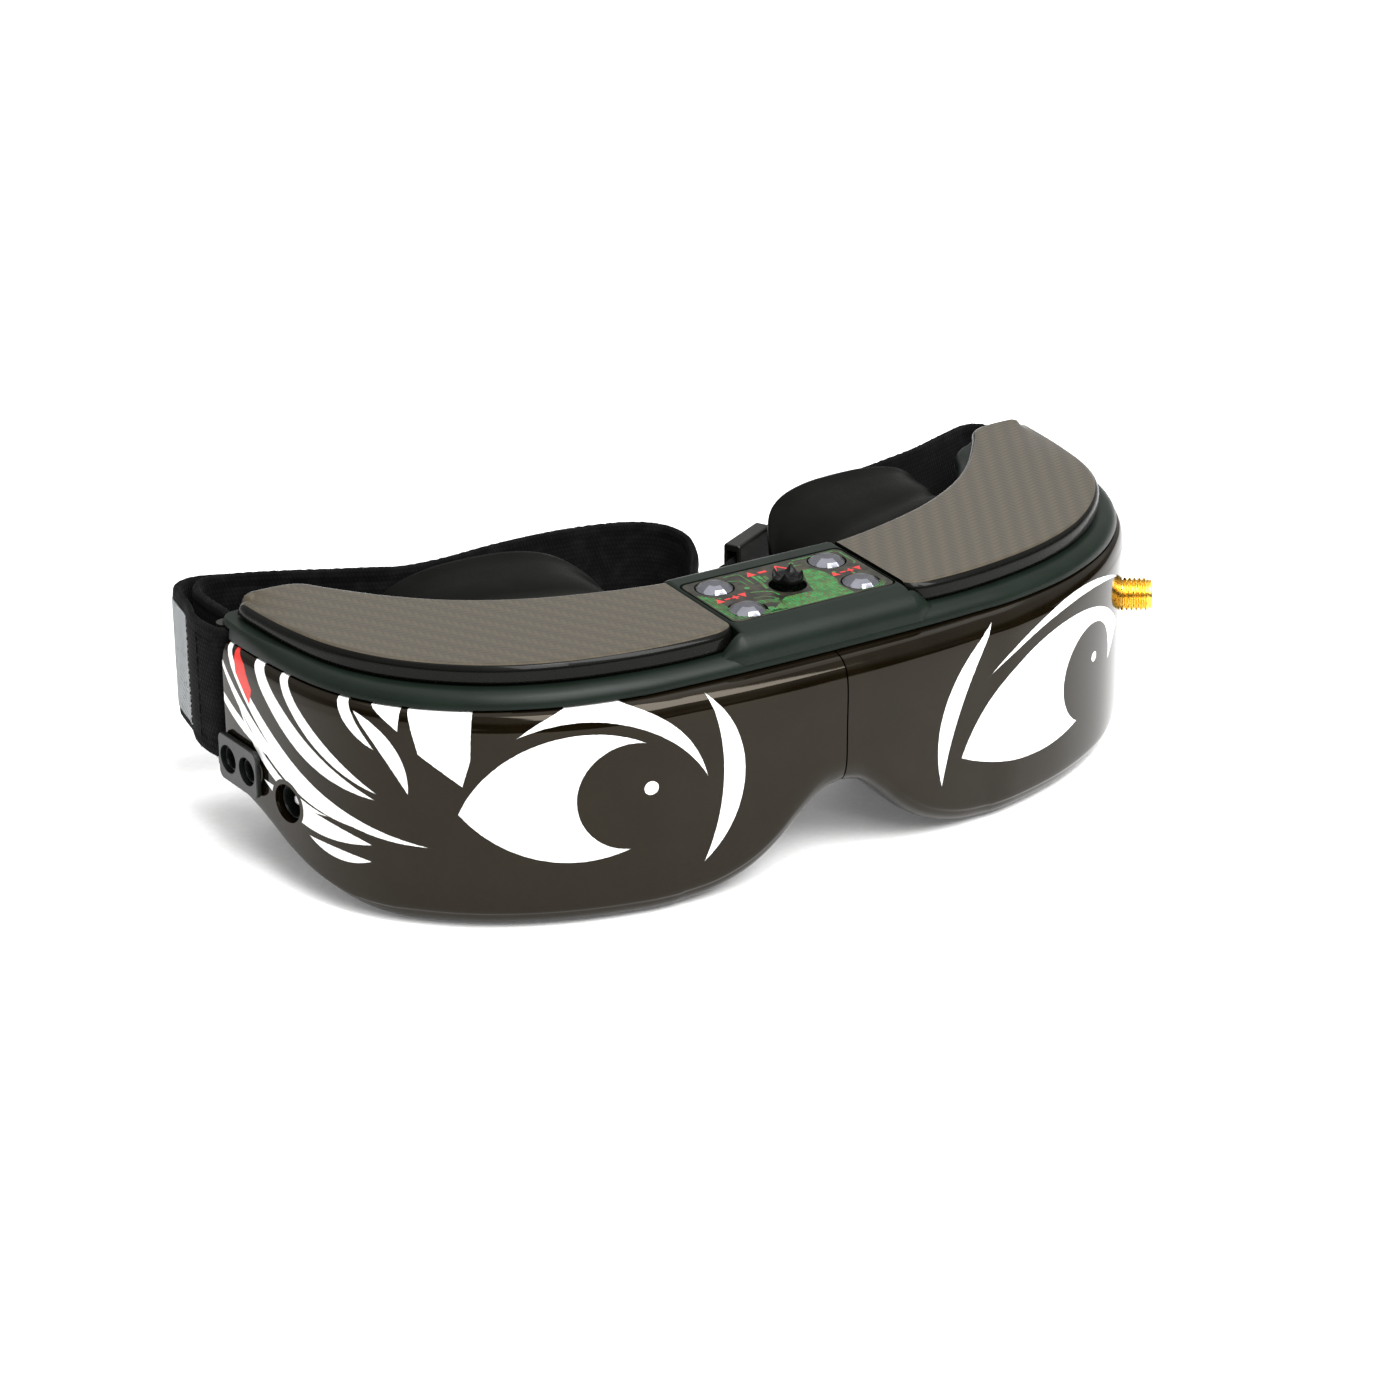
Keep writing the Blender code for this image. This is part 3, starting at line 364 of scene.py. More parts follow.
def stand_for(obj, node, material, weighted=True):
    """obj is shown in place of a CAD node, on that node's body."""
    ride_along(obj, material, NODES[node]["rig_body"])
    if weighted:
        obj.modifiers.new("Normals", "WEIGHTED_NORMAL").keep_sharp = True
    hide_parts(node)


# ---------------------------------------------------------------- node materials

class Net:
    """A small helper for building a material's nodes."""

    def __init__(self, name, colour=(0.02, 0.02, 0.02), roughness=0.4, **settings):
        self.material = bpy.data.materials.new(name)
        self.material.use_nodes = True
        self.tree = self.material.node_tree
        self.shader = self.tree.nodes["Principled BSDF"]
        self.set("Base Color", (*colour, 1.0))
        self.set("Roughness", roughness)
        for key, value in settings.items():
            self.set(key.replace("_", " "), value)

    def set(self, socket, value):
        """Sets or links one input of the shader."""
        if isinstance(value, bpy.types.NodeSocket):
            self.tree.links.new(value, self.shader.inputs[socket])
        else:
            self.shader.inputs[socket].default_value = value

    def add(self, kind, inputs=(), **settings):
        node = self.tree.nodes.new(kind)
        for key, value in settings.items():
            setattr(node, key, value)
        for key, value in dict(inputs).items():
            if isinstance(value, bpy.types.NodeSocket):
                self.tree.links.new(value, node.inputs[key])
            else:
                node.inputs[key].default_value = value
        return node

    def math(self, operation, a, b=0.0, c=0.0):
        return self.add("ShaderNodeMath", {0: a, 1: b, 2: c}, operation=operation).outputs[0]

    def times(self, a, *others):
        for other in others:
            a = self.math("MULTIPLY", a, other)
        return a

    def humps(self, value, width=1.0):
        """0 at every whole width and 1 half way between."""
        return self.math("ABSOLUTE", self.math("SINE", self.times(value, math.pi / width)))

    def without(self, shape, cut):
        """A shape less another, as signed distances."""
        return self.math("MAXIMUM", shape, self.times(cut, -1.0))

    def vector(self, operation, a, b=(0, 0, 0), output="Vector"):
        return self.add("ShaderNodeVectorMath", {0: a, 1: b}, operation=operation).outputs[output]

    def mm(self):
        """Place on the piece in millimetres."""
        where = self.add("ShaderNodeTexCoord").outputs["Object"]
        return self.vector("MULTIPLY", where, (1000.0, 1000.0, 1000.0))

    def attribute(self, name):
        return self.add("ShaderNodeAttribute", attribute_name=name).outputs["Vector"]

    def noise(self, scale, detail, roughness=0.5):
        return self.add("ShaderNodeTexNoise", {"Vector": self.mm(), "Scale": scale, "Detail": detail,
                                               "Roughness": roughness}).outputs[0]

    def voronoi(self, scale):
        return self.add("ShaderNodeTexVoronoi", {"Vector": self.mm(), "Scale": scale}).outputs["Distance"]

    def split(self, value):
        return self.add("ShaderNodeSeparateXYZ", {0: value}).outputs

    def span(self, value, low, high, to_low=0.0, to_high=1.0):
        return self.add("ShaderNodeMapRange", {0: value, 1: low, 2: high, 3: to_low, 4: to_high}).outputs[0]

    def blend(self, share, a, b):
        """Colour a where share is 0, b where it is 1."""
        node = self.add("ShaderNodeMix", {0: share}, data_type="RGBA")
        for index, value in ((6, a), (7, b)):
            if isinstance(value, bpy.types.NodeSocket):
                self.tree.links.new(value, node.inputs[index])
            else:
                node.inputs[index].default_value = (*value, 1.0)
        return node.outputs[2]

    def bump(self, height, distance, strength=1.0, socket="Normal"):
        """Bump from a height in 0..1, with its real depth in millimetres."""
        inputs = {"Height": height, "Distance": distance * MM, "Strength": strength}
        self.set(socket, self.add("ShaderNodeBump", inputs).outputs[0])


def moulded(name, colour, roughness, grain=9.0, depth=0.02, variation=0.25, **settings):
    """A moulded plastic or rubber with a fine grain and slightly uneven colour and gloss."""
    net = Net(name, colour, roughness, **settings)
    fine, broad = net.noise(grain, 2.0), net.noise(0.16, 4.0)
    shade = net.span(broad, 0.3, 0.7, 1 - variation, 1 + variation)
    net.set("Base Color", net.add("ShaderNodeVectorMath", {0: colour, "Scale": shade},
                                  operation="SCALE").outputs[0])
    net.set("Roughness", net.span(fine, 0.3, 0.7, roughness - 0.05, roughness + 0.07))
    net.bump(fine, depth)
    return net.material


def metal(name, colour, roughness, brushed=6.0, **settings):
    net = Net(name, colour, roughness, Metallic=1.0, **settings)
    broad, fine = net.noise(0.5, 4.0), net.noise(brushed, 3.0)
    net.set("Base Color", net.blend(net.span(broad, 0.35, 0.7), tuple(c * 0.82 for c in colour), colour))
    net.set("Roughness", net.span(fine, 0.3, 0.7, roughness * 0.8, roughness * 1.4))
    net.bump(fine, 0.006)
    return net.material


# ---- gloss shells with their printed pattern, laid out in (distance round the shell, height)

def circle(net, where, centre, radius):
    """Signed distance from a circle, negative inside."""
    return net.math("SUBTRACT", net.vector("DISTANCE", where, (*centre, 0.0), "Value"), radius)


def arc_side(net, where, a, b, sag):
    """Distance outside the circle through a and b that bulges by sag to the left of the way from a to b."""
    half = math.dist(a, b) / 2
    radius = (half * half + sag * sag) / (2 * abs(sag))
    middle = ((a[0] + b[0]) / 2, (a[1] + b[1]) / 2)
    left = (-(b[1] - a[1]) / (2 * half), (b[0] - a[0]) / (2 * half))
    reach = math.copysign(radius - abs(sag), -sag)
    return circle(net, where, (middle[0] + left[0] * reach, middle[1] + left[1] * reach), radius)


def sweep(net, where, a, b, outer, inner):
    """A pointed shape from a to b between two arcs: a crescent, or an almond where inner is negative."""
    big, small = arc_side(net, where, a, b, outer), arc_side(net, where, a, b, inner)
    return net.without(big, small) if outer * inner > 0 else net.math("MAXIMUM", big, small)


def polygon(net, where, corners):
    """A convex shape from its corners, clockwise."""
    found = None
    for a, b in zip(corners, corners[1:] + corners[:1]):
        length = math.dist(a, b)
        normal = (-(b[1] - a[1]) / length, (b[0] - a[0]) / length, 0.0)
        d = net.math("SUBTRACT", net.vector("DOT_PRODUCT", where, normal, "Value"),
                     normal[0] * a[0] + normal[1] * a[1])
        found = d if found is None else net.math("MAXIMUM", found, d)
    return found


def union(net, shapes):
    found = shapes[0]
    for shape in shapes[1:]:
        found = net.math("MINIMUM", found, shape)
    return found


# The eye on each side: an almond, a disc and a dot as (centre, radius), and two crescents. Almonds and
# crescents are (from, to, outer sag, inner sag), as sweep() takes them.
EYES = {
    -1: (((-70.8, 22.0), (-29.2, 22.6), 13.6, -9.8), ((-41.2, 23.6), 9.8), ((-38.0, 24.6), 1.25),
         (((-60.5, 36.2), (-27.6, 25.0), 9.4, 6.4), ((-28.0, 8.8), (-27.2, 39.2), -7.2, -3.2))),
    1: (((25.0, 14.8), (75.0, 24.5), 13.8, -8.6), ((60.2, 20.4), 9.3), ((62.0, 22.6), 0.95),
        (((31.5, 29.4), (74.0, 33.8), 6.4, 4.9), ((20.6, 10.6), (31.6, 38.6), 5.2, 1.5)))}
LEFT_EYE_END = [(-80.0, 50.0), (-33.5, 50.0), (-33.5, 0.0), (-80.0, 0.0)]


def front_pattern(net, where, side):
    """Almond with a dark disc and a dot, and a plain crescent above and beside it."""
    almond, disc, dot, crescents = EYES[side]
    almond, disc, dot = sweep(net, where, *almond), circle(net, where, *disc), circle(net, where, *dot)
    extra = [sweep(net, where, *crescent) for crescent in crescents]
    eye = net.without(almond, disc)
    if side < 0:
        eye = net.math("MAXIMUM", eye, polygon(net, where, LEFT_EYE_END))
    return [eye, net.math("MAXIMUM", dot, almond), *extra]


# Tapering stripes towards the temples, laid out for the left side and mirrored on the right.
STRIPES = {
    1: [((-127.0, 45.0), (-102.0, 26.5), -4.2, -2.2), ((-127.0, 39.6), (-105.0, 21.5), -4.0, -2.2),
        ((-130.0, 34.0), (-107.0, 23.5), -2.6, -0.7), ((-124.0, 27.5), (-103.0, 18.5), -2.6, -1.3)],
    -1: [((-118.2, 46.0), (-85.6, 23.0), -5.6, -2.3), ((-110.6, 46.0), (-85.2, 24.2), -3.9, -1.6),
         ((-127.0, 45.0), (-76.4, 15.4), -7.9, -5.3), ((-127.0, 39.6), (-83.6, 16.9), -6.6, -4.2),
         ((-119.0, 30.0), (-95.4, 17.6), -4.2, -2.4), ((-93.6, 45.5), (-85.4, 32.4), -2.6, -0.5),
         ((-89.2, 38.6), (-79.4, 25.0), 3.1, 0.3), ((-112.0, 18.8), (-86.4, 14.4), -2.6, 0.9),
         ((-99.5, 12.6), (-86.6, 11.2), -1.7, 0.2), ((-130.0, 34.0), (-107.0, 23.5), -2.6, -0.7)]}
WEDGES = [[(-79.6, 41.0), (-68.2, 41.0), (-68.6, 32.0), (-70.0, 27.2), (-77.4, 32.6)],
          [(-87.6, 41.0), (-80.6, 41.0), (-80.9, 36.4)]]
RED_BLOCK = [(-121.4, 40.6), (-117.4, 38.4), (-114.8, 34.6), (-115.6, 31.6), (-119.8, 36.2)]


def side_pattern(net, where, side):
    """Swept tapering stripes towards the temple; more of them, and wedges, on the left."""
    shapes = [sweep(net, where, (a[0] * -side, a[1]), (b[0] * -side, b[1]), outer * -side, inner * -side)
              for a, b, outer, inner in STRIPES[side]]
    if side < 0:
        shapes += [polygon(net, where, corners) for corners in WEDGES]
    return shapes


def shell_material(side):
    """Gloss black with the white pattern printed under the lacquer, and a plain red block at the temple."""
    net = Net(f"gloss_shell_{'right' if side > 0 else 'left'}", roughness=0.07, IOR=1.30,
              Specular_Tint=(1.0, 0.88, 0.72, 1.0))
    where = net.vector("MULTIPLY", net.attribute("around"), (1.0, 1.0, 0.0))
    edge = net.noise(1.3, 2.0)
    white = union(net, front_pattern(net, where, side) + side_pattern(net, where, side))
    # Plain black round the jack on the right, wider than its hole as painted shade of the shadowed recess round it,
    # and round the power socket on the left.
    centre, radius = ((JACK_REACH, JACK_AT[2]), 7.0) if side > 0 else ((-POWER_REACH, POWER_AT[2]), 4.4)
    white = net.without(white, circle(net, where, centre, radius))
    white = net.math("ADD", white, net.span(edge, 0.3, 0.7, -0.03, 0.03))
    red = polygon(net, where, RED_BLOCK if side < 0 else [(-x, z) for x, z in reversed(RED_BLOCK)])
    dust = net.span(net.noise(0.12, 5.0), 0.35, 0.7)
    black = net.blend(dust, (0.0030, 0.0020, 0.0008), (0.0046, 0.0032, 0.0014))
    paint = net.blend(net.span(white, -0.05, 0.05, 1.0, 0.0), black, (0.90, 0.90, 0.885))
    net.set("Base Color", net.blend(net.span(red, -0.05, 0.05, 1.0, 0.0), paint, (0.62, 0.035, 0.03)))
    net.set("Roughness", net.span(net.noise(0.4, 5.0), 0.3, 0.7, 0.055, 0.10))
    net.bump(net.noise(0.7, 1.5), 0.003)
    return net.material


def carbon_material(side):
    """Twill cloth under a clear film."""
    net = Net(f"carbon_cover_{'right' if side > 0 else 'left'}", roughness=0.3, Coat_Weight=0.85,
              Coat_Roughness=0.15, Coat_IOR=1.35, Specular_IOR_Level=0.3, Specular_Tint=(1.0, 0.86, 0.66, 1.0))
    twisted = net.add("ShaderNodeVectorRotate", {"Vector": net.mm(), "Angle": math.radians(side * 30 + 45)},
                      rotation_type="Z_AXIS").outputs[0]
    tow_width = 1.1
    u, v = [net.math("DIVIDE", place, tow_width) for place in net.split(twisted)[:2]]
    cell = net.math("ADD", net.math("FLOOR", u), net.math("FLOOR", v))
    over = net.math("LESS_THAN", net.math("FLOORED_MODULO", cell, 4.0), 2.0)
    tows = net.add("ShaderNodeMix", {0: over, 2: net.humps(v), 3: net.humps(u)}, data_type="FLOAT").outputs[0]
    band = net.math("SINE", net.times(net.math("ADD", u, v), math.pi / 2))
    ripple = net.math("MULTIPLY_ADD", band, 0.5, 0.5)
    # Painted sheen and reflection: the base colour is lighter along the middle of each tow, on the tows of one
    # direction and along a diagonal ripple of the film, with a random tone on top.
    lit = net.times(net.span(tows, 0.0, 1.0, 0.68, 1.0), net.span(over, 0.0, 1.0, 0.84, 1.0),
                    net.span(ripple, 0.0, 1.0, 0.66, 1.0), net.span(net.noise(5.0, 3.0), 0.25, 0.75, 0.75, 1.0))
    net.set("Base Color", net.blend(lit, (0.0115, 0.0085, 0.0042), (0.044, 0.0335, 0.0175)))
    net.set("Roughness", net.span(tows, 0.0, 1.0, 0.42, 0.3))
    net.bump(tows, 0.014, 0.5)
    net.bump(net.math("ADD", net.times(ripple, 0.8), net.noise(0.28, 2.0)), 0.028, 0.6, "Coat Normal")
    return net.material


def webbing_material(name, colour):
    """Elastic webbing: cords across, warp rows along and a fuzz of broken fibres."""
    net = Net(name, colour, 0.95, Sheen_Weight=0.02, Sheen_Roughness=0.5, Specular_IOR_Level=0.06)
    lengthwise, across = net.split(net.attribute("weave"))[:2]
    row_width, cord_width = 0.9, 0.7
    row = net.math("FLOOR", net.math("DIVIDE", across, row_width))
    shifted = net.math("MULTIPLY_ADD", row, cord_width / 2, lengthwise)
    yarn = net.times(net.humps(shifted, cord_width), net.humps(across, row_width))
    worn = net.span(net.noise(0.35, 5.0), 0.45, 0.75)
    tone = net.blend(yarn, tuple(c * 0.5 for c in colour), colour)
    net.set("Base Color", net.blend(net.times(worn, 0.35), tone, tuple(c * 3.0 + 0.003 for c in colour)))
    net.bump(net.math("ADD", yarn, net.times(net.noise(4.0, 4.0), 0.6)), 0.09, 0.8)
    return net.material


def label_material():
    """Dark film over a circuit board, with faint broad copper areas showing through."""
    net = Net("keypad_label", roughness=0.34, Coat_Weight=0.1, Coat_Roughness=0.16, Specular_IOR_Level=0.14)
    copper = net.span(net.noise(0.45, 4.0), 0.42, 0.62)
    speck = net.span(net.voronoi(2.2), 0.08, 0.16, 1.0, 0.0)
    tone = net.blend(copper, (0.013, 0.0125, 0.0095), (0.028, 0.027, 0.018))
    net.set("Base Color", net.blend(net.times(speck, 0.45), tone, (0.07, 0.022, 0.015)))
    net.bump(net.noise(3.0, 3.0), 0.008)
    return net.material


def trace_material():
    """Copper under green solder mask, flecked and finely ruled."""
    net = Net("circuit_trace", roughness=0.38, Coat_Weight=0.1, Coat_Roughness=0.16, Specular_IOR_Level=0.14)
    fleck = net.span(net.noise(2.4, 4.0), 0.46, 0.60)
    broad = net.span(net.noise(0.7, 3.0), 0.35, 0.65)
    x, y = net.split(net.mm())[:2]
    lines = net.math("MAXIMUM", net.math("SINE", net.times(x, 9.0)), net.math("SINE", net.times(y, 7.6)))
    green = net.blend(broad, (0.016, 0.105, 0.028), (0.030, 0.22, 0.055))
    green = net.blend(net.span(lines, 0.75, 0.95, 0.4, 0.0), green, (0.016, 0.02, 0.010))
    net.set("Base Color", net.blend(net.times(fleck, 0.7), green, (0.075, 0.035, 0.018)))
    net.bump(fleck, 0.01)
    return net.material


def patch_material():
    """White yarn woven through black in short dashes, in rows, on the strap's label patch."""
    net = Net("woven_patch", (0.03, 0.03, 0.03), 0.85, Sheen_Weight=0.3)
    lengthwise, across = net.split(net.attribute("weave"))[:2]
    u, v = net.math("DIVIDE", lengthwise, 0.8), net.math("DIVIDE", across, 0.5)
    stagger = net.math("MULTIPLY_ADD", net.math("FLOOR", v), 0.38, u)
    dash = net.span(net.math("FRACT", stagger), 0.50, 0.60, 1.0, 0.0)
    row = net.span(net.humps(v), 0.25, 0.5)
    white = net.times(dash, row, net.span(net.noise(1.2, 4.0), 0.30, 0.45))
    net.set("Base Color", net.blend(white, (0.010, 0.011, 0.012), (0.48, 0.52, 0.54)))
    net.bump(net.math("ADD", white, net.noise(5.0, 2.0)), 0.06)
    return net.material


def glass_material():
    net = Net("lens_glass", (0.80, 0.86, 0.95), 0.03, Transmission_Weight=1.0, IOR=1.49, Coat_Weight=0.6,
              Coat_Roughness=0.02)
    net.set("Roughness", net.span(net.noise(0.5, 3.0), 0.3, 0.7, 0.01, 0.05))
    net.bump(net.noise(0.3, 2.0), 0.002)
    return net.material


def board_material():
    """Green solder mask with tinned tracks."""
    net = Net("circuit_board", roughness=0.35, Coat_Weight=0.4)
    brick = net.add("ShaderNodeTexBrick", {"Vector": net.mm(), "Color1": (0.02, 0.12, 0.04, 1), "Mortar Size": 0.05,
                                           "Color2": (0.02, 0.10, 0.035, 1), "Mortar": (0.05, 0.2, 0.07, 1),
                                           "Scale": 0.4})
    net.set("Base Color", brick.outputs[0])
    net.bump(brick.outputs[1], 0.03)
    return net.material


def display_material():
    net = Net("display_glass", (0.012, 0.013, 0.02), 0.08, Coat_Weight=1.0)
    net.bump(net.voronoi(6.0), 0.004)
    return net.material


SHELL = {side: shell_material(side) for side, _ in SIDES}
CARBON = {side: carbon_material(side) for side, _ in SIDES}
# The bay covers' sides and tips: a darker, less glossy copy of the cover, painted shade for the dark they reflect.
SHADED_SKIRT = moulded("cover_skirt_painted_shade", (0.0025, 0.0025, 0.0020), 0.30, grain=6.0, depth=0.004, variation=0.2,
                Coat_Weight=0.22, Coat_Roughness=0.05, Coat_IOR=1.35, Specular_IOR_Level=0.05)
MATT = moulded("matt_shell", (0.0050, 0.0085, 0.0060), 0.36, grain=7.0, depth=0.010, variation=0.15,
               Specular_IOR_Level=0.13)
UNDER = moulded("matt_under", (0.008, 0.009, 0.008), 0.46, grain=3.2, depth=0.03, Specular_IOR_Level=0.3)
RUBBER = moulded("eyecup_rubber", (0.0024, 0.0024, 0.0019), 0.34, grain=2.4, depth=0.014, Specular_IOR_Level=0.03)
KNOB = moulded("knob_rubber", (0.02, 0.02, 0.02), 0.6, grain=4.0)
PLASTIC = moulded("black_plastic", (0.014, 0.0145, 0.014), 0.38, grain=5.0)
FITTING = moulded("strap_fitting", (0.006, 0.006, 0.005), 0.34, grain=5.0, Specular_IOR_Level=0.3)
SOCKET = moulded("socket_plate", (0.006, 0.0075, 0.0065), 0.32, grain=6.0, Specular_IOR_Level=0.3)
STICK = moulded("stick_cap", (0.002, 0.002, 0.002), 0.30, grain=4.0, Specular_IOR_Level=0.12)
DOME = metal("dome_steel", (0.20, 0.202, 0.228), 0.20)
STEEL = metal("steel", (0.55, 0.55, 0.57), 0.26)
GOLD = metal("gold_plate", (1.0, 0.62, 0.11), 0.22, brushed=3.0)
PTFE = moulded("insulator", (0.78, 0.78, 0.74), 0.4)
WEBBING = webbing_material("strap_webbing", (0.0032, 0.0032, 0.0034))
THREAD = webbing_material("strap_thread", (0.005, 0.005, 0.0055))
PATCH = patch_material()
LABEL, TRACE, BOARD = label_material(), trace_material(), board_material()
GLASS, DISPLAY = glass_material(), display_material()
RED = moulded("red_mark", (0.42, 0.018, 0.018), 0.35, variation=0.2)


# ---------------------------------------------------------------- moulded shells

def front_shell(side, tag):
    """Half of the front: its outer skin from the joint line down to the roll under it, then its inner skin."""
    joint, wide, lower = (smooth(line, 10) for line in (JOINT_LINE, WIDE_LINE, LOWER_LINE))
    joint_in, wide_in = offset_line(joint, WALL), offset_line(wide, WALL)
    for line in (joint, wide, lower, joint_in, wide_in):
        line[0] = (GAP / 2, line[0][1])
        line[-1] = (SHELL_END, line[-1][1])
    sections = []
    for j, w, low, j_in, w_in in zip(joint, wide, lower, joint_in, wide_in):
        shrink = 1 - 0.55 * ease(w[1], 0.0, 26.0)
        outer = [(*mix(j, w, share), z) for share, z in SHOULDER]
        for share, over in ROLL:
            p = mix(w, low, share)
            outer.append((*p, underside(*p) + over * shrink))
        outer.insert(len(SHOULDER), mix(outer[len(SHOULDER) - 1], outer[len(SHOULDER)], 0.5))
        outer = smooth(outer, 6)
        floor = underside(*low) + FLOOR
        corner = mix(w_in, low, 0.3)
        inner = [(*low, floor), (*corner, underside(*corner) + FLOOR + 0.3),
                 (*w_in, underside(*w_in) + FLOOR + 2.2 * shrink), (*w_in, SHELL_TOP - 6.5), (*j_in, SHELL_TOP)]
        sections.append([(side * x, y, z) for x, y, z in outer + inner])
    return from_bmesh(f"shell_{tag}", rings(sections))


def around(vert):
    """Distance round the shell and height, where the printed pattern is laid out."""
    x, y, z = vert.co.x / MM, vert.co.y / MM - SHIFT, vert.co.z / MM
    return math.copysign(distance_round(abs(x), y), x), z, 0.0


def on_left_wall(y):
    """The point of the left end wall at y, at the height of the two sockets."""
    return -86.7 - 0.097 * (y - 30.2), y, AV_Z


AV_HOLES = [on_left_wall(y) for y in AV_Y]


def shells():
    shell = {side: front_shell(side, tag) for side, tag in SIDES}
    boolean(shell[-1], "DIFFERENCE", corner_cut(-1, -5, 50), cylinder("cut", 3.5, (-7, 5), POWER_AT, SIDE_AXIS),
            *[cylinder("cut", 2.8, (-7, 6), at, AV_AXIS) for at in AV_HOLES])
    boolean(shell[1], "DIFFERENCE", corner_cut(1, -5, 50), cylinder("cut", 5.1, (-6, 5), JACK_AT, JACK_AXIS))
    for side, tag in SIDES:
        write_vectors(shell[side], "around", [around(vert) for vert in shell[side].data.vertices])
        stand_for(shell[side], f"front_shell_{tag}", SHELL[side])


BRIDGE_FRONT = [(-9.4, TOP), (-10.8, 46.9), (-12.1, 46.5), (-13.3, 45.8), (-14.3, 44.6), (-14.9, 43.2),
                (-15.1, BRIDGE_BASE)]
BRIDGE_REAR = [(13.9, BRIDGE_BASE), (13.9, 45.0), (13.6, 46.1), (13.0, 46.7), (12.0, TOP)]


def wing(side):
    """The bridge's front edge carried past the bay cover, dying away into the rim."""
    back, first, last, steps = -12.3, 16.5, 23.1, 16
    front = [(y, z) for y, z in smooth(BRIDGE_FRONT, 6) if y < back]
    section = [(back, BRIDGE_BASE), (back, front[0][1] + 0.05)] + front
    rows = []
    for k in range(steps + 1):
        x = first + (last - first) * k / steps
        share = 1 - ease(x, 17.2, 23.0)
        rows.append([(side * x, *mix((max(y, -13.1), min(z, 42.3)), (y, z - 0.01), share)) for y, z in section])
    return from_bmesh("wing", rings(rows))


def bridge():
    """The raised block between the bays, rounded at the front."""
    section = smooth(BRIDGE_REAR, 5) + smooth(BRIDGE_FRONT, 5)
    rounding = [(BRIDGE_HALF - 1.0, 0.0), (BRIDGE_HALF - 0.5, 0.12), (BRIDGE_HALF - 0.2, 0.35), (BRIDGE_HALF, 0.7)]
    stations = [(-x, drop) for x, drop in reversed(rounding)] + rounding
    return from_bmesh("bridge", rings([[(x, y, z - drop * (z > 44)) for y, z in section] for x, drop in stations]))


# The rim's section: height, and how far it has come in from the joint line.
RIM_LEVELS = [(SHELL_TOP + GAP, 0.2), (SHELL_TOP + 0.45, 0.05), (41.0, 0.12), (41.5, 0.3), (42.0, 0.62),
              (42.4, 1.0), (42.75, 1.5), (43.0, 2.0), (43.15, 2.5), (RIM_TOP, 3.0)]


def top_cover():
    """The rim with the bridge on it, and the hollows for the bays, the keypad and the strap's posts."""
    outline = mirrored(smooth(JOINT_LINE, 8) + list(reversed(smooth(REAR_LINE, 8))))
    cover = from_bmesh("top_rim", rings([[(x, y, z) for x, y in inset(outline, d)] for z, d in RIM_LEVELS]))
    boolean(cover, "UNION", bridge(), wing(-1), wing(1))
    cuts = [box("cut", (x, 11.5, 30), (x + 15, 28, 60)) for x in (57, -72)]
    cuts.append(box("cut", (-16.8, -9.6, TOP - 0.9), (16.8, 9.6, TOP + 2), upright="Z", radius=1.6))
    cuts.append(box("cut", (-15.5, -8.4, 30), (15.5, 8.4, 44.4)))
    for x, y, radius in [(x, y, KEY_R + 0.4) for x, y in KEY_PLACES] + [(0, 0, STICK_HOLE)]:
        cuts.append(cylinder("cut", radius, (0, 10), (x, y, 40), sides=48))
    cuts += [corner_cut(side, 30, CORNER_ROOF) for side, _ in SIDES]
    boolean(cover, "DIFFERENCE", *cuts)
    stand_for(cover, "top_cover", MATT)


SCREWS = [(-54, 20), (54, 20), (-56, 3), (56, 3)]
SCREW_HEAD = [(1.7, 0.3), (1.9, 0.36), (2.0, 0.55), (2.0, 1.1), (1.0, 1.9), (1.0, 6.5)]


def bottom_cover():
    """The floor of the case, which follows the underside, with its screws."""
    front = offset_line(smooth(LOWER_LINE, 6), GAP + 0.2)
    front[0] = (0.0, front[0][1])
    front[-9:] = [mix((77.2, 45.4), (71.6, 46.2), k / 8) for k in range(9)]
    rear = smooth(REAR_LINE, 6)
    count, deep = 66, 16
    rows = []
    for k in range(deep + 1):
        places = [mix(at_share(front, i / count), at_share(rear, i / count), k / deep) for i in range(count + 1)]
        row = [(x, y, underside(x, y)) for x, y in places]
        rows.append([(-x, y, z) for x, y, z in reversed(row[1:])] + row)
    bm = bmesh.new()
    low = [[bm.verts.new(p) for p in row] for row in rows]
    high = [[bm.verts.new((x, y, z + FLOOR)) for x, y, z in row] for row in rows]
    for grid in (low, high):
        for a, b in zip(grid, grid[1:]):
            for i in range(len(a) - 1):
                bm.faces.new((a[i], a[i + 1], b[i + 1], b[i]))
    wide = len(rows[0])
    edge = [(k, 0) for k in range(deep + 1)] + [(deep, i) for i in range(1, wide)]
    edge += [(k, wide - 1) for k in range(deep - 1, -1, -1)] + [(0, i) for i in range(wide - 2, 0, -1)]
    for (a, b), (c, d) in zip(edge, edge[1:] + edge[:1]):
        bm.faces.new((low[a][b], low[c][d], high[c][d], high[a][b]))
    cover = from_bmesh("underside", bm)
    cuts = [cylinder("cut", 2.3, (-2, 5), (x, y, 0), sides=40) for x, y in SCREWS]
    cuts += [box("cut", (x - 6.6, 0.0, -3), (x + 6.6, 6.0, 9), upright="Z", radius=1.2) for x in (EYE_X, -EYE_X)]
    boolean(cover, "DIFFERENCE", *cuts)
    stand_for(cover, "bottom_cover", UNDER)
    for number, (x, y) in enumerate(SCREWS, 1):
        head = turned(f"bottom_screw_{number}_fine", SCREW_HEAD, (x, y, 0), UP, sides=40)
        boolean(head, "DIFFERENCE", cylinder("cut", 0.9, (-1, 1.0), (x, y, 0), sides=6))
        stand_for(head, f"bottom_screw_{number}", STEEL)


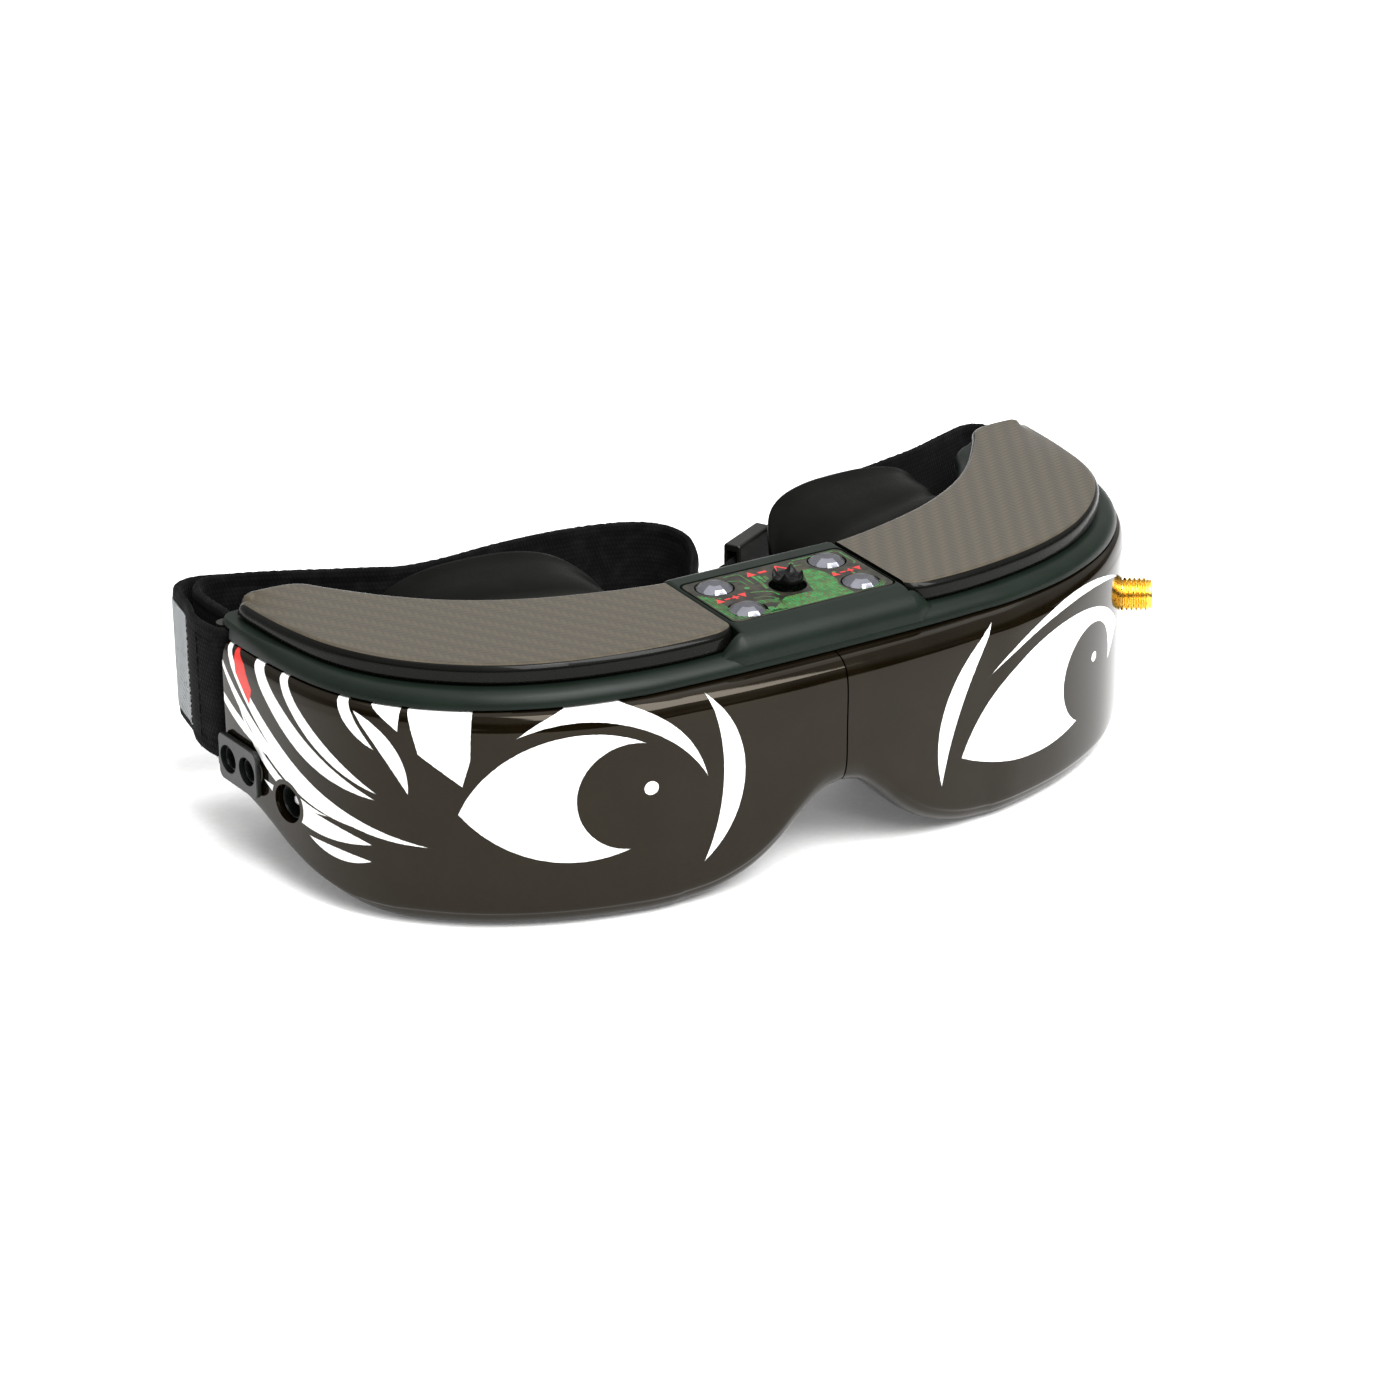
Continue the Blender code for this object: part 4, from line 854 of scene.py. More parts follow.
def rear_housing():
    """The wall behind the optics, with the two eye windows."""
    line = smooth(REAR_LINE, 8)
    path = [(-x, y) for x, y in reversed(line[1:])] + line
    sections = []
    for (x, y), (u, v) in zip(path, offset_line(path, -(WALL - 0.2))):
        low = max(underside(x, y), underside(u, v)) + FLOOR + 0.95
        heights = [low + (SHELL_TOP - low) * k / 8 for k in range(9)]
        sections.append([(x, y - 0.05, z) for z in heights] + [(u, v - 0.05, z) for z in reversed(heights)])
    wall = from_bmesh("rear_wall", rings(sections))
    windows = [box("cut", (x - 12.5, 5, EYE_Z - 11), (x + 12.5, 40, EYE_Z + 11), upright="Y", radius=3.0)
               for x in (EYE_X + 1.5, -EYE_X - 1.5)]
    boolean(wall, "DIFFERENCE", *windows)
    stand_for(wall, "rear_housing", UNDER)


def bay_cover(side, tag):
    """Raised cover lofted from the bridge to the temple, crowned a little and falling to its outer edge."""
    count, arc_steps, top_steps = 90, 9, 14
    length, corner, tip = 65.0, 3.0, 1.7
    front, rear = even(smooth(COVER_FRONT, 10), count), even(smooth(COVER_REAR, 10), count)
    ends = [0.0, 0.08, 0.2, 0.4, 0.65]
    sections = []
    for k in ends + list(range(1, count)) + [count - e for e in reversed(ends)]:
        t = k / count
        f, r = at_share(front, t), at_share(rear, t)
        span = math.dist(f, r)
        unit = ((r[0] - f[0]) / span, (r[1] - f[1]) / span)
        gone, left = k * length / count, (count - k) * length / count
        back = corner - math.sqrt(max(corner ** 2 - max(corner - gone - 0.25, 0.0) ** 2, 0.0))
        sink = tip - math.sqrt(max(tip ** 2 - max(tip - left, 0.0) ** 2, 0.0))
        fall = 0.95 * ease(t, 0.62, 1.0)
        top_front = TOP - fall
        round_front = min(1.5 + 1.2 * ease(t, 0.6, 0.95), span * 0.45)
        round_rear = min(1.2, span * 0.35)
        rise = min(round_front, top_front - RIM_TOP - 1.1)
        foot = [(0.3, RIM_TOP + GAP), (0.05, RIM_TOP + 0.55), (0.0, RIM_TOP + 0.9)]
        arc = [math.pi / 2 * i / arc_steps for i in range(arc_steps + 1)]
        # The section as (distance back from the front line, height).
        section = list(foot)
        section += [(round_front * (1 - math.cos(a)), top_front - rise * (1 - math.sin(a))) for a in arc]
        section += [(round_front + (span - round_front - round_rear) * v, TOP - fall * (1 - v) ** 1.6)
                    for v in (i / top_steps for i in range(1, top_steps))]
        section += [(span - round_rear * (1 - math.sin(a)), TOP - round_rear * (1 - math.cos(a))) for a in arc]
        section += [(span - d, z) for d, z in reversed(foot)]
        placed_section = []
        for distance, z in section:
            d = back * (1 - distance / span) + distance
            placed_section.append((side * (f[0] + unit[0] * d), f[1] + unit[1] * d, z - sink * (z > RIM_TOP + 1.0)))
        sections.append(placed_section)
    cover = from_bmesh(f"bay_cover_{tag}_fine", rings(sections), 40.0)
    stand_for(cover, f"bay_cover_{tag}", CARBON[side])
    cover.data.materials.append(SHADED_SKIRT)
    # rings() makes the faces row by row: the pattern keeps to the top strip, and stops where the tip turns down; the
    # sides and the tip take the darker copy, painted shade.
    for face in cover.data.polygons:
        row, column = divmod(face.index, len(sections[0]))
        face.material_index = 0 if 9 <= column <= 28 and row < len(sections) - len(ends) else 1


# ---------------------------------------------------------------- keypad and joystick

def dome(name, x, y):
    """Pressed steel dome with nine soft facets over a round foot."""
    facets = 9
    wedge = 2 * math.pi / facets
    profile = [(KEY_R - 0.4, -1.9), (KEY_R, -1.6), (KEY_R, -0.05), (KEY_R - 0.10, 0.12), (2.55, 0.55), (1.5, 0.98),
               (0.45, 1.15)]
    rows = []
    for r, z in profile:
        row = []
        for a in turns(facets * 8):
            flat = math.cos(wedge / 2) / math.cos(a % wedge - wedge / 2)
            reach = r * flat if z > 0.1 else r
            row.append((x + reach * math.cos(a), y + reach * math.sin(a), FILM + z))
        rows.append(row)
    stand_for(from_bmesh(f"{name}_fine", rings(rows), 9.0), name, DOME, weighted=False)


class Print:
    """Flat printed shapes on the keypad's film, gathered into one piece."""

    def __init__(self, high):
        self.bm, self.low, self.high = bmesh.new(), FILM - 0.02, FILM + high

    def patch(self, outline, sunk=0.0):
        base, top = [[self.bm.verts.new((x, y, z)) for x, y in outline] for z in (self.low, self.high - sunk)]
        self.bm.faces.new(top)
        self.bm.faces.new(base[::-1])
        for i in range(len(outline)):
            j = (i + 1) % len(outline)
            self.bm.faces.new((base[i], base[j], top[j], top[i]))

    def line(self, width, points, sunk=0.0):
        """A line through points, with square ends."""
        left, right = offset_line(points, width / 2), offset_line(points, -width / 2)
        self.patch(left + right[::-1], sunk)

    def dot(self, x, y, radius):
        self.patch([(x + radius * math.cos(a), y + radius * math.sin(a)) for a in turns(16)])

    def done(self, name, material):
        ride_along(from_bmesh(name, self.bm), material)


COPPER = [[(-9.4, -8.9), (8.0, -8.9), (7.6, -4.6), (-3.4, -4.4), (-6.4, -6.8)],
          [(2.4, -4.5), (7.6, -4.6), (8.6, -2.4), (8.5, 1.6), (7.4, 3.8), (5.6, 4.2), (3.6, -0.4)]]
FINGERS = [((-3.3, 6.4), (-3.95, 0.4)), ((-2.4, 6.0), (-2.6, 3.0)), ((-1.5, 5.4), (-1.7, 3.7))]
TRACKS = [(0.4, [(-7.4, 0.4), (-5.4, -0.2), (-3.9, -1.2), (-3.6, -3.0)]),
          (0.3, [(-8.2, -2.0), (-6.2, -2.2), (-4.8, -3.6)]),
          (0.3, [(6.2, 8.5), (14.9, 8.5), (15.7, 7.7), (15.7, 2.6), (15.0, 1.9)]),
          (0.36, [(3.2, 5.6), (4.8, 6.4), (7.0, 6.2)]),
          (0.28, [(-8.0, 8.4), (-5.4, 8.4), (-4.9, 7.9), (-4.9, 3.4)]),
          (0.24, [(-8.2, 6.6), (-6.3, 5.6), (-6.1, 3.2)])]
PADS = [(-6.9, 2.3, 0.55), (-7.8, -7.0, 0.6), (-4.9, -4.2, 0.4), (-9.3, -3.2, 0.3), (5.6, 7.6, 0.45),
        (9.9, 0.4, 0.4), (-13.3, 0.9, 0.3), (12.6, -1.6, 0.35), (1.4, 5.2, 0.4)]


def keypad_print():
    """Green tracks and copper areas under the film, and plain red arrows, dashes and crosses."""
    tracks = Print(0.02)
    for k in range(5):
        x, step = -15.95 + 0.42 * k, 0.42 * k
        tracks.line(0.26, [(x, 3.8 - 0.5 * k), (x, -7.6 + 0.4 * k), (x + 0.55, -8.25 + step),
                           (-5.5 - 1.1 * k, -8.6 + step)])
    for outline in COPPER:
        tracks.patch(outline)
    for k, (a, b) in enumerate(FINGERS):
        tracks.line(0.62, [a, (a[0] - 0.1, (a[1] + b[1]) / 2), b], sunk=0.004 * k)
    for width, points in TRACKS:
        tracks.line(width, points)
    for k in range(3):
        fall, climb = 0.5 * k, 0.45 * k
        tracks.line(0.24, [(-8.6, -3.6 - fall), (-6.4, -3.8 - fall), (-4.9, -5.0 - fall)])
        tracks.line(0.24, [(9.6, -8.6 + climb), (14.2, -8.6 + climb), (15.3 - 0.3 * k, -7.6 + climb)])
    for pad in PADS:
        tracks.dot(*pad)
    tracks.done("keypad_tracks", TRACE)

    marks = Print(0.035)
    for x, y in ((-11.6, 0.0), (11.9, -0.3)):
        marks.patch([(x - 3.2, y - 0.8), (x - 1.6, y - 0.8), (x - 2.4, y + 0.85)])
        for dash in ([(-1.25, 0.0), (-0.1, 0.0)], [(0.2, 0.0), (1.6, 0.0)], [(0.9, 0.22), (0.9, 0.75)],
                     [(0.9, -0.75), (0.9, -0.22)]):
            marks.line(0.42, [(x + u, y + v) for u, v in dash])
        marks.patch([(x + 1.8, y + 0.85), (x + 2.6, y - 0.8), (x + 3.4, y + 0.85)])
    marks.patch([(-4.2, 6.4), (-2.3, 6.4), (-3.2, 8.2)])
    marks.line(0.75, [(-1.7, 7.0), (0.0, 7.0)])
    marks.line(0.62, [(1.2, 6.0), (2.5, 7.9), (3.8, 6.0)])
    marks.done("keypad_marks", RED)


def keypad():
    label = box("keypad_film", (-16.4, -9.2, TOP - 0.9 + GAP), (16.4, 9.2, FILM), upright="Z", radius=1.4)
    holes = [(x, y, KEY_R + 0.3) for x, y in KEY_PLACES] + [(0, 0, STICK_HOLE)]
    boolean(label, "DIFFERENCE", *[cylinder("cut", radius, (0, 8), (x, y, 42)) for x, y, radius in holes])
    stand_for(label, "keypad_label", LABEL)
    keypad_print()
    for tag, x in (("volume", -KEY_X), ("channel", KEY_X)):
        dome(f"{tag}_up_key", x, KEY_Y)
        dome(f"{tag}_down_key", x, -KEY_Y)


# The stick's cap: radius, height over its foot, and how much of a prong's rise is felt there.
CROWN = [(1.7, 0.0, 0), (2.2, 0.12, 0), (2.55, 0.5, 0), (2.72, 0.95, 0), (2.76, 1.3, 0.2), (2.68, 1.5, 0.75),
         (2.52, 1.55, 1.0), (2.25, 1.5, 0.8), (1.85, 1.4, 0.35), (1.2, 1.3, 0.05), (0.4, 1.26, 0.0)]
CROWN_FOOT, PRONG = 47.05, 1.35


def joystick():
    """Low cap with four pointed prongs round a dish."""
    rows = []
    for r, height, rise in CROWN:
        row = []
        for a in turns(96):
            off = abs(a % (math.pi / 2) - math.pi / 4) / (math.pi / 4)   # 0 at a prong, 1 half way to the next
            peak = max(0.0, 1 - off * 1.9) ** 1.1
            reach = r - 0.16 * max(0.0, off - 0.55) * (height > 0.9)
            row.append((reach * math.cos(a), reach * math.sin(a), CROWN_FOOT + height + PRONG * rise * peak))
        rows.append(row)
    stand_for(from_bmesh("stick_crown", rings(rows), 50.0), "stick_cap", STICK, weighted=False)
    stem = turned("stick_rod", [(0.6, -2.2), (0.9, -1.6), (0.9, 2.7), (1.3, 2.8), (1.3, 3.1)], (0, 0, 44.3), UP,
                  sides=32)
    stand_for(stem, "stick_stem", PLASTIC)


# ---------------------------------------------------------------- antenna jack and sockets

def jack():
    """The coaxial jack with its thread, insulator, contact and nut."""
    pitch, crest, root = 0.88, 3.17, 2.68
    start, end = -1.0, 5.2
    count = int((end - start) / pitch * 12)

    def ring(z, radius):
        """A ring whose radius is a number, or a function of the angle."""
        reach = [(a, radius(a) if callable(radius) else radius) for a in turns(96)]
        return [(r * math.cos(a), r * math.sin(a), z) for a, r in reach]

    def thread(z):
        """The thread's radius at a height, as a function of the angle; it fades out towards both ends."""
        fade = max(min(1.0, (z - start) / 0.7, (end - z) / 0.5), 0.0)

        def radius(a):
            phase = (z / pitch - a / (2 * math.pi)) % 1.0
            tooth = min(1.0, max(0.0, 1.25 - 2.9 * abs(phase - 0.5)))
            return root + (crest - root) * tooth * fade
        return radius

    rows = [ring(z, r) for r, z in [(3.2, -7.0), (3.4, -6.8), (3.4, -4.2), (root, -4.0), (root, -1.1)]]
    rows += [ring(z, thread(z)) for z in (start + (end - start) * i / count for i in range(count + 1))]
    rows += [ring(z, r) for r, z in [(root, 5.35), (2.72, 5.6), (2.35, 5.6), (2.25, 5.5), (2.25, -5.4)]]
    bm = rings(rows)
    bm.transform(placed(JACK_AT, JACK_AXIS))
    stand_for(from_bmesh("jack_threaded", bm, 48.0), "antenna_jack", GOLD, weighted=False)
    core = cylinder("jack_core", 1.9, (-5.2, 4.0), JACK_AT, JACK_AXIS, bevel=0.15)
    boolean(core, "DIFFERENCE", cylinder("cut", 0.75, (-7, 8), JACK_AT, JACK_AXIS))
    stand_for(core, "jack_insulator", PTFE)
    contact = cylinder("jack_pin", 0.45, (-4.8, 3.6), JACK_AT, JACK_AXIS, sides=32, bevel=0.1)
    stand_for(contact, "jack_contact", GOLD)
    nut = cylinder("jack_nut", 4.6, (-3.2, -1.6), JACK_AT, JACK_AXIS, sides=6)
    boolean(nut, "DIFFERENCE", cylinder("cut", 3.5, (-5, 1), JACK_AT, JACK_AXIS))
    stand_for(nut, "antenna_nut", PLASTIC)


def sockets():
    """The power socket, and the raised plate with the two round sockets."""
    barrel = turned("power_barrel", [(3.1, -9.0), (3.1, -1.1), (2.95, -0.9)], POWER_AT, SIDE_AXIS)
    boolean(barrel, "DIFFERENCE", turned("cut", [(2.55, -7.5), (2.55, -1.3), (2.9, -0.6)], POWER_AT, SIDE_AXIS))
    stand_for(barrel, "power_socket", SOCKET)
    pin = turned("power_contact", [(1.0, -7.2), (1.0, -2.1), (0.9, -1.8), (0.55, -1.6)], POWER_AT, SIDE_AXIS,
                 sides=32)
    stand_for(pin, "power_pin", STEEL)
    middle = on_left_wall(sum(AV_Y) / 2)
    on_wall = Matrix.Translation(middle) @ Matrix.Rotation(math.atan2(AV_AXIS[1], AV_AXIS[0]), 4, "Z")
    raised = box("av_plate", (0.4, -6.3, -4.4), (1.4, 6.3, 4.4), upright="X", radius=1.4, bevel=0.22, place=on_wall)
    boolean(raised, "DIFFERENCE", *[cylinder("cut", 2.6, (-5, 5), at, AV_AXIS) for at in AV_HOLES])
    stand_for(raised, "socket_plate", SOCKET)
    for at, name in zip(AV_HOLES, ("video_socket", "earphone_socket")):
        socket = turned(f"{name}_fine", [(2.3, -11.0), (2.3, 0.4), (2.1, 0.6)], at, AV_AXIS)
        boolean(socket, "DIFFERENCE", turned("cut", [(1.7, -9.5), (1.7, 0.0), (2.0, 0.9)], at, AV_AXIS))
        stand_for(socket, name, SOCKET)


# ---------------------------------------------------------------- optics

# The lens's domed face: place along Y, and its share of the full outline.
LENS_LEVELS = [(6.2, 0.86), (6.6, 0.88), (7.2, 0.88), (7.9, 0.86), (8.5, 0.80), (9.1, 0.70), (9.55, 0.56),
               (9.8, 0.38), (9.9, 0.16)]


def optics(side, tag):
    """One lens, and the ribbed thumb tab under it."""
    x = side * EYE_X
    outline = round_rect(10.2, 7.8, 2.4, 8)
    levels = [[(x + u * share, y, EYE_Z + v * share) for u, v in outline] for y, share in LENS_LEVELS]
    lens = from_bmesh(f"lens_{tag}_fine", rings(levels))
    stand_for(lens, f"lens_{tag}", GLASS, weighted=False)
    knob = box(f"knob_{tag}", (x - 3.5, 0.5, 1.6), (x + 3.5, 5.5, 3.4), bevel=0.4)
    ribs = [box("cut", (x - 3.1 + 0.88 * k, 0.0, 1.0), (x - 2.7 + 0.88 * k, 6.0, 2.0)) for k in range(8)]
    boolean(knob, "DIFFERENCE", *ribs)
    boolean(knob, "UNION", box("stalk", (x - 1.2, 1.8, 2.6), (x + 1.2, 4.2, EYE_Z - 10 - GAP)))
    stand_for(knob, f"eye_width_knob_{tag}", KNOB)


# ---------------------------------------------------------------- eyecups

EYECUP_RIM = [(15.8, 21.0), (17.3, 32.0), (22.5, 40.8), (32.0, 44.2), (42.0, 45.0), (52.0, 44.8), (66.0, 45.6)]
# Rings as (depth from the housing to the rim, inset, pull back): the outer skin, the lip, and the inner skin.
CUP_OUTER = [(0.0, 0.15), (0.02, 0.0), (0.12, 0.0), (0.2, 0.35), (0.27, 0.55), (0.34, 0.35), (0.42, 0.05),
             (0.6, 0.1), (0.8, 0.1), (0.9, 0.0)]
CUP_LIP = [(0.955, -0.25), (0.985, -0.3), (1.0, 0.05), (1.0, 0.6, 0.05), (0.985, 1.15), (0.955, 1.35)]
CUP_INNER = [(0.88, 0.0), (0.7, 0.05), (0.5, 0.0), (0.34, 0.35), (0.27, 0.5), (0.2, 0.3), (0.1, 0.0), (0.0, 0.0)]


def eyecup(side, tag):
    """Soft flared cup: thin wall, a rolled lip on the face side and a shallow fold near the housing."""
    half_wide, half_high, middle_x, middle_z, wall = 22.0, 19.6, 38.4, 24.1, 1.3
    rear_line, rim_line = smooth(REAR_LINE, 6), smooth(EYECUP_RIM, 6)

    def ring(depth, shrink, pull=0.0):
        made = []
        for a in turns(120):
            u, v = [math.copysign(abs(w) ** 0.62, w) for w in (math.cos(a), math.sin(a))]
            grow = 1.0 + 0.03 * depth
            z = middle_z + (half_high - shrink) * v * grow
            inner = max(0.0, -u) * max(0.0, 0.45 - (z - 4) / 80) * 11
            x = middle_x + (half_wide - shrink) * u * grow + inner
            front = along(rear_line, x) + GAP + 0.15
            back = along(rim_line, x) - 3.5 * ease(-v, 0.0, 0.6)
            made.append((side * x, front + (max(back, front + 3) - front) * depth - pull, z))
        return made

    made = [ring(*place) for place in CUP_OUTER + CUP_LIP]
    made += [ring(depth, wall + shrink) for depth, shrink in CUP_INNER]
    cup = from_bmesh(f"eyecup_{tag}_fine", rings(made, join_ends=True), 60.0)
    stand_for(cup, f"eyecup_{tag}", RUBBER, weighted=False)


# ---------------------------------------------------------------- strap

STRAP_ROUTE = [
    (-47.4, 58.0, 27.4), (-54.0, 61.4, 27.4), (-63.0, 65.3, 27.5), (-73.0, 69.2, 27.7), (-80.4, 70.6, 28.2),
    (-84.8, 68.2, 28.6), (-86.2, 63.6, 29.0), (-87.0, 58.6, 29.2), (-88.3, 54.0, 29.3), (-88.4, 49.6, 29.3),
    (-87.4, 45.6, 29.3), (-85.3, 44.5, 29.3), (-83.1, 45.8, 29.3), (-82.8, 49.6, 29.3), (-83.0, 54.0, 29.3),
    (-83.4, 59.0, 29.3), (-82.8, 64.4, 29.2), (-79.6, 67.2, 29.2), (-74.0, 66.0, 29.2), (-66.0, 62.4, 29.2),
    (-57.0, 57.8, 29.2), (-48.6, 53.9, 29.2), (-40.0, 53.0, 29.2), (-28.0, 53.8, 29.2), (-14.7, 53.9, 29.0),
    (-3.0, 52.8, 28.4), (4.2, 50.4, 27.4), (7.4, 46.4, 26.0), (6.8, 42.0, 24.2), (4.4, 38.4, 22.8),
    (3.6, 35.8, 22.0), (5.2, 35.0, 21.9), (9.3, 37.3, 22.1)]
SLIDER_AT, SLIDER_DIRECTION, SLIDER_REACH, SLIDER_MID = (18.5, 42.3), (0.877, 0.480), 8.5, 22.4
STRAP_RIGHT = [
    (28.1, 47.6, 22.6), (32.6, 49.4, 22.8), (37.0, 50.4, 24.4), (42.0, 50.9, 26.8), (48.0, 51.3, 28.4),
    (55.0, 52.0, 29.0), (64.0, 53.8, 29.2), (73.0, 57.0, 29.3), (79.4, 59.0, 29.3), (82.6, 57.4, 29.3),
    (83.0, 53.0, 29.3), (82.8, 49.4, 29.3), (83.1, 45.8, 29.3), (85.3, 44.5, 29.3), (87.4, 45.6, 29.3),
    (88.4, 49.6, 29.3), (88.3, 53.0, 29.3), (88.0, 56.2, 29.3)]
STRAP_HALF, STRAP_THICK = 12.5, 1.5
PATCH_RANGE, PATCH_SIDE = (42, 58), -1
# Half of the webbing's section over one face, from its edge to the middle: place across, and half thickness.
STRAP_EDGE = [(-STRAP_HALF, 0.0), (-STRAP_HALF + 0.12, 0.42), (-STRAP_HALF + 0.5, 0.62), (-STRAP_HALF + 1.0, 0.70),
              (-STRAP_HALF + 1.7, 0.74), (-STRAP_HALF + 2.1, 0.56), (-STRAP_HALF + 2.5, 0.66)]
STRAP_MIDDLE = [(-8.0, 0.70), (-5.0, 0.66), (-2.0, 0.70), (2.0, 0.70), (5.0, 0.66), (8.0, 0.70)]
PATCH_SECTION = [(-10.4, -0.2), (-10.4, 0.0), (-10.2, 0.07), (-5.0, 0.07), (0.0, 0.08), (5.0, 0.07), (10.2, 0.07),
                 (10.4, 0.0), (10.4, -0.2)]


def strap_line():
    """The strap's middle line, about every millimetre, with its length so far."""
    at, direction = Vector(SLIDER_AT), Vector(SLIDER_DIRECTION)
    straight = [tuple(at + direction * d) + (SLIDER_MID + 0.03 * d,) for d in (-SLIDER_REACH, 0.0, SLIDER_REACH)]
    line = smooth(STRAP_ROUTE + straight + STRAP_RIGHT, 14)
    total = sum(math.dist(a, b) for a, b in zip(line, line[1:]))
    return even(line, int(total / 0.9)), total


def frame_at(line, i):
    """Place, direction, and the flat normal of the strap at a point of its line."""
    ahead, behind = line[min(i + 2, len(line) - 1)], line[max(i - 2, 0)]
    tangent = Vector((ahead[0] - behind[0], ahead[1] - behind[1])).normalized()
    return Vector(line[i]), Vector((tangent.x, tangent.y, 0)), Vector((-tangent.y, tangent.x, 0))


def uneven(value, seed):
    """A small repeatable wobble between -1 and 1."""
    return (math.sin(value * 1.7 + seed) + math.sin(value * 3.1 + seed * 2.3) + math.sin(value * 7.3 + seed * 5.1)) / 3


def up(distance):
    return Vector((0, 0, distance))


def strap():
    """Webbing with rounded selvedges, worn edges, stitching on its sewn ends and a woven patch."""
    line, total = strap_line()
    step = total / (len(line) - 1)
    face = STRAP_EDGE + STRAP_MIDDLE + [(-w, t) for w, t in reversed(STRAP_EDGE)]
    loop = face + [(w, -t) for w, t in reversed(face[1:-1])]
    rows, weave = [], []
    for i in range(len(line)):
        at, _, normal = frame_at(line, i)
        s = i * step
        thin = 0.7 if i in (0, len(line) - 1) else 1.0
        ring = []
        for w, t in loop:
            ragged = 0.13 * uneven(s * 2.3, 1.0 if w > 0 else 2.0) * (abs(w) > STRAP_HALF - 0.6)
            reach = min(abs(t) * (1 + 0.05 * uneven(s * 0.8, w)) * thin, STRAP_THICK / 2)
            height = min(max(w + ragged, -STRAP_HALF), STRAP_HALF)
            ring.append(tuple(at + normal * math.copysign(reach, t) + up(height)))
            weave.append((s, w + t * 0.2, 0.0))
        rows.append(ring)
    obj = from_bmesh("strap_webbing", rings(rows), 75.0)
    write_vectors(obj, "weave", weave)
    stand_for(obj, "head_strap", WEBBING, weighted=False)
    stitches(line)
    woven_patch(line)
    fuzz(line)


# A stitch as (distance along it, radius).
STITCH = [(-0.95, 0.05), (-0.75, 0.16), (0.0, 0.2), (0.75, 0.16), (0.95, 0.05)]


def stitches(line):
    """Short raised thread stitches in two rows at the sewn ends, and a box at the free end."""
    bm = bmesh.new()
    count = len(line)

    def stitch(i, w, outward, lengthwise=True):
        at, tangent, normal = frame_at(line, i)
        centre = at + normal * (outward * (STRAP_THICK / 2 - 0.02)) + up(w)
        axis, side = (tangent, up(1)) if lengthwise else (up(1), tangent)
        part = rings([[tuple(centre + axis * d + side * (r * math.cos(a)) + normal * (r * 0.8 * math.sin(a)))
                       for a in turns(8)] for d, r in STITCH])
        mesh = bpy.data.meshes.new("stitch")
        part.to_mesh(mesh)
        part.free()
        bm.from_mesh(mesh)
        bpy.data.meshes.remove(mesh)

    for start, stop in ((4, 22), (66, 84), (count - 21, count - 4)):
        for outward in (-1, 1):
            for w in (-9.6, 9.6):
                for i in range(start, stop, 3):
                    stitch(i, w, outward)
            for i in (start - 1, stop):
                for k in range(-4, 5):
                    stitch(min(max(i, 1), count - 2), k * 2.3, outward, lengthwise=False)
    ride_along(from_bmesh("strap_stitching", bm, 60.0), THREAD)


def woven_patch(line):
    """A thin woven label sewn to the strap's outer face behind the left temple."""
    rows, weave = [], []
    start, stop = PATCH_RANGE
    for i in range(start, stop + 1):
        at, _, normal = frame_at(line, i)
        lift = STRAP_THICK / 2 + (0.10 if start < i < stop else 0.02)
        rows.append([tuple(at + normal * (PATCH_SIDE * (lift + t)) + up(w)) for w, t in PATCH_SECTION])
        weave += [((i - start) * 0.9, w + 20.0, 0.0) for w, _ in PATCH_SECTION]
    obj = from_bmesh("strap_patch", rings(rows), 60.0)
    write_vectors(obj, "weave", weave)
    ride_along(obj, PATCH)


def fuzz(line):
    """Loose fibre ends along the webbing's upper and lower edges."""
    bm = bmesh.new()
    for i in range(3, len(line) - 3):
        at, tangent, normal = frame_at(line, i)
        for edge in (-1, 1):
            for k in range(3):
                a, b, c = (uneven(i * 1.3 + k * 11.1, edge * 3.0 + m) for m in (0.0, 2.1, 4.2))
                foot = at + tangent * (k * 0.3) + normal * (a * 0.5) + up(edge * (STRAP_HALF - 0.12))
                tip = foot + tangent * (b * 0.45) + normal * (c * 0.35) + up(edge * (0.22 + 0.22 * abs(a)))
                width, depth = tangent * 0.035, normal * 0.03
                quad = [foot - width, foot + width, tip]
                front, back = [[bm.verts.new(p + shift) for p in quad] for shift in (depth, -depth)]
                bm.faces.new(front)
                bm.faces.new(back[::-1])
                for m in range(3):
                    bm.faces.new((front[m], front[(m + 1) % 3], back[(m + 1) % 3], back[m]))
    ride_along(from_bmesh("strap_fibres", bm), THREAD)


def strap_fittings():
    """The post at each temple, and the ladder buckle."""
    for side, tag in SIDES:
        post = cylinder(f"post_{tag}", 1.5, (15.0, CORNER_ROOF - GAP), (side * 85.3, 47.0, 0), sides=40)
        near, far = sorted((side * (CORNER_X + GAP), side * 87.0))
        boolean(post, "UNION", box("foot", (near, CORNER_Y + GAP, 14.2), (far, 49.4, 15.8), bevel=0.2))
        stand_for(post, f"strap_anchor_{tag}", FITTING)
    turn = Matrix.Rotation(math.atan2(SLIDER_DIRECTION[1], SLIDER_DIRECTION[0]), 4, "Z")
    place = Matrix.Translation((*SLIDER_AT, SLIDER_MID)) @ turn
    buckle = box("slider_frame", (-6.0, -1.75, -15.2), (6.0, 1.75, 15.2), upright="X", radius=0.7, bevel=0.3,
                 place=place)
    boolean(buckle, "DIFFERENCE", box("cut", (-20, -1.1, -13.9), (20, 1.1, 13.9), place=place))
    stand_for(buckle, "strap_slider", FITTING)


# ---------------------------------------------------------------- the rest of the frame's nodes

def plain_nodes():
    """Pieces whose shape is right as it is take a detailed material."""
    for names, material in ((("keypad_board", "main_board"), BOARD),
                            (("guide_rod_front", "guide_rod_rear", "stick_plunger"), STEEL),
                            (("display_left", "display_right"), DISPLAY),
                            (("optic_housing_left", "optic_housing_right", "rod_frame", "receiver_module",
                              "tracker_module", "stick_switch_base", "stick_gimbal"), PLASTIC)):
        for name in names:
            slots = NODES[name].data.materials
            if not slots:
                slots.append(material)
            for i in range(len(slots)):
                slots[i] = material


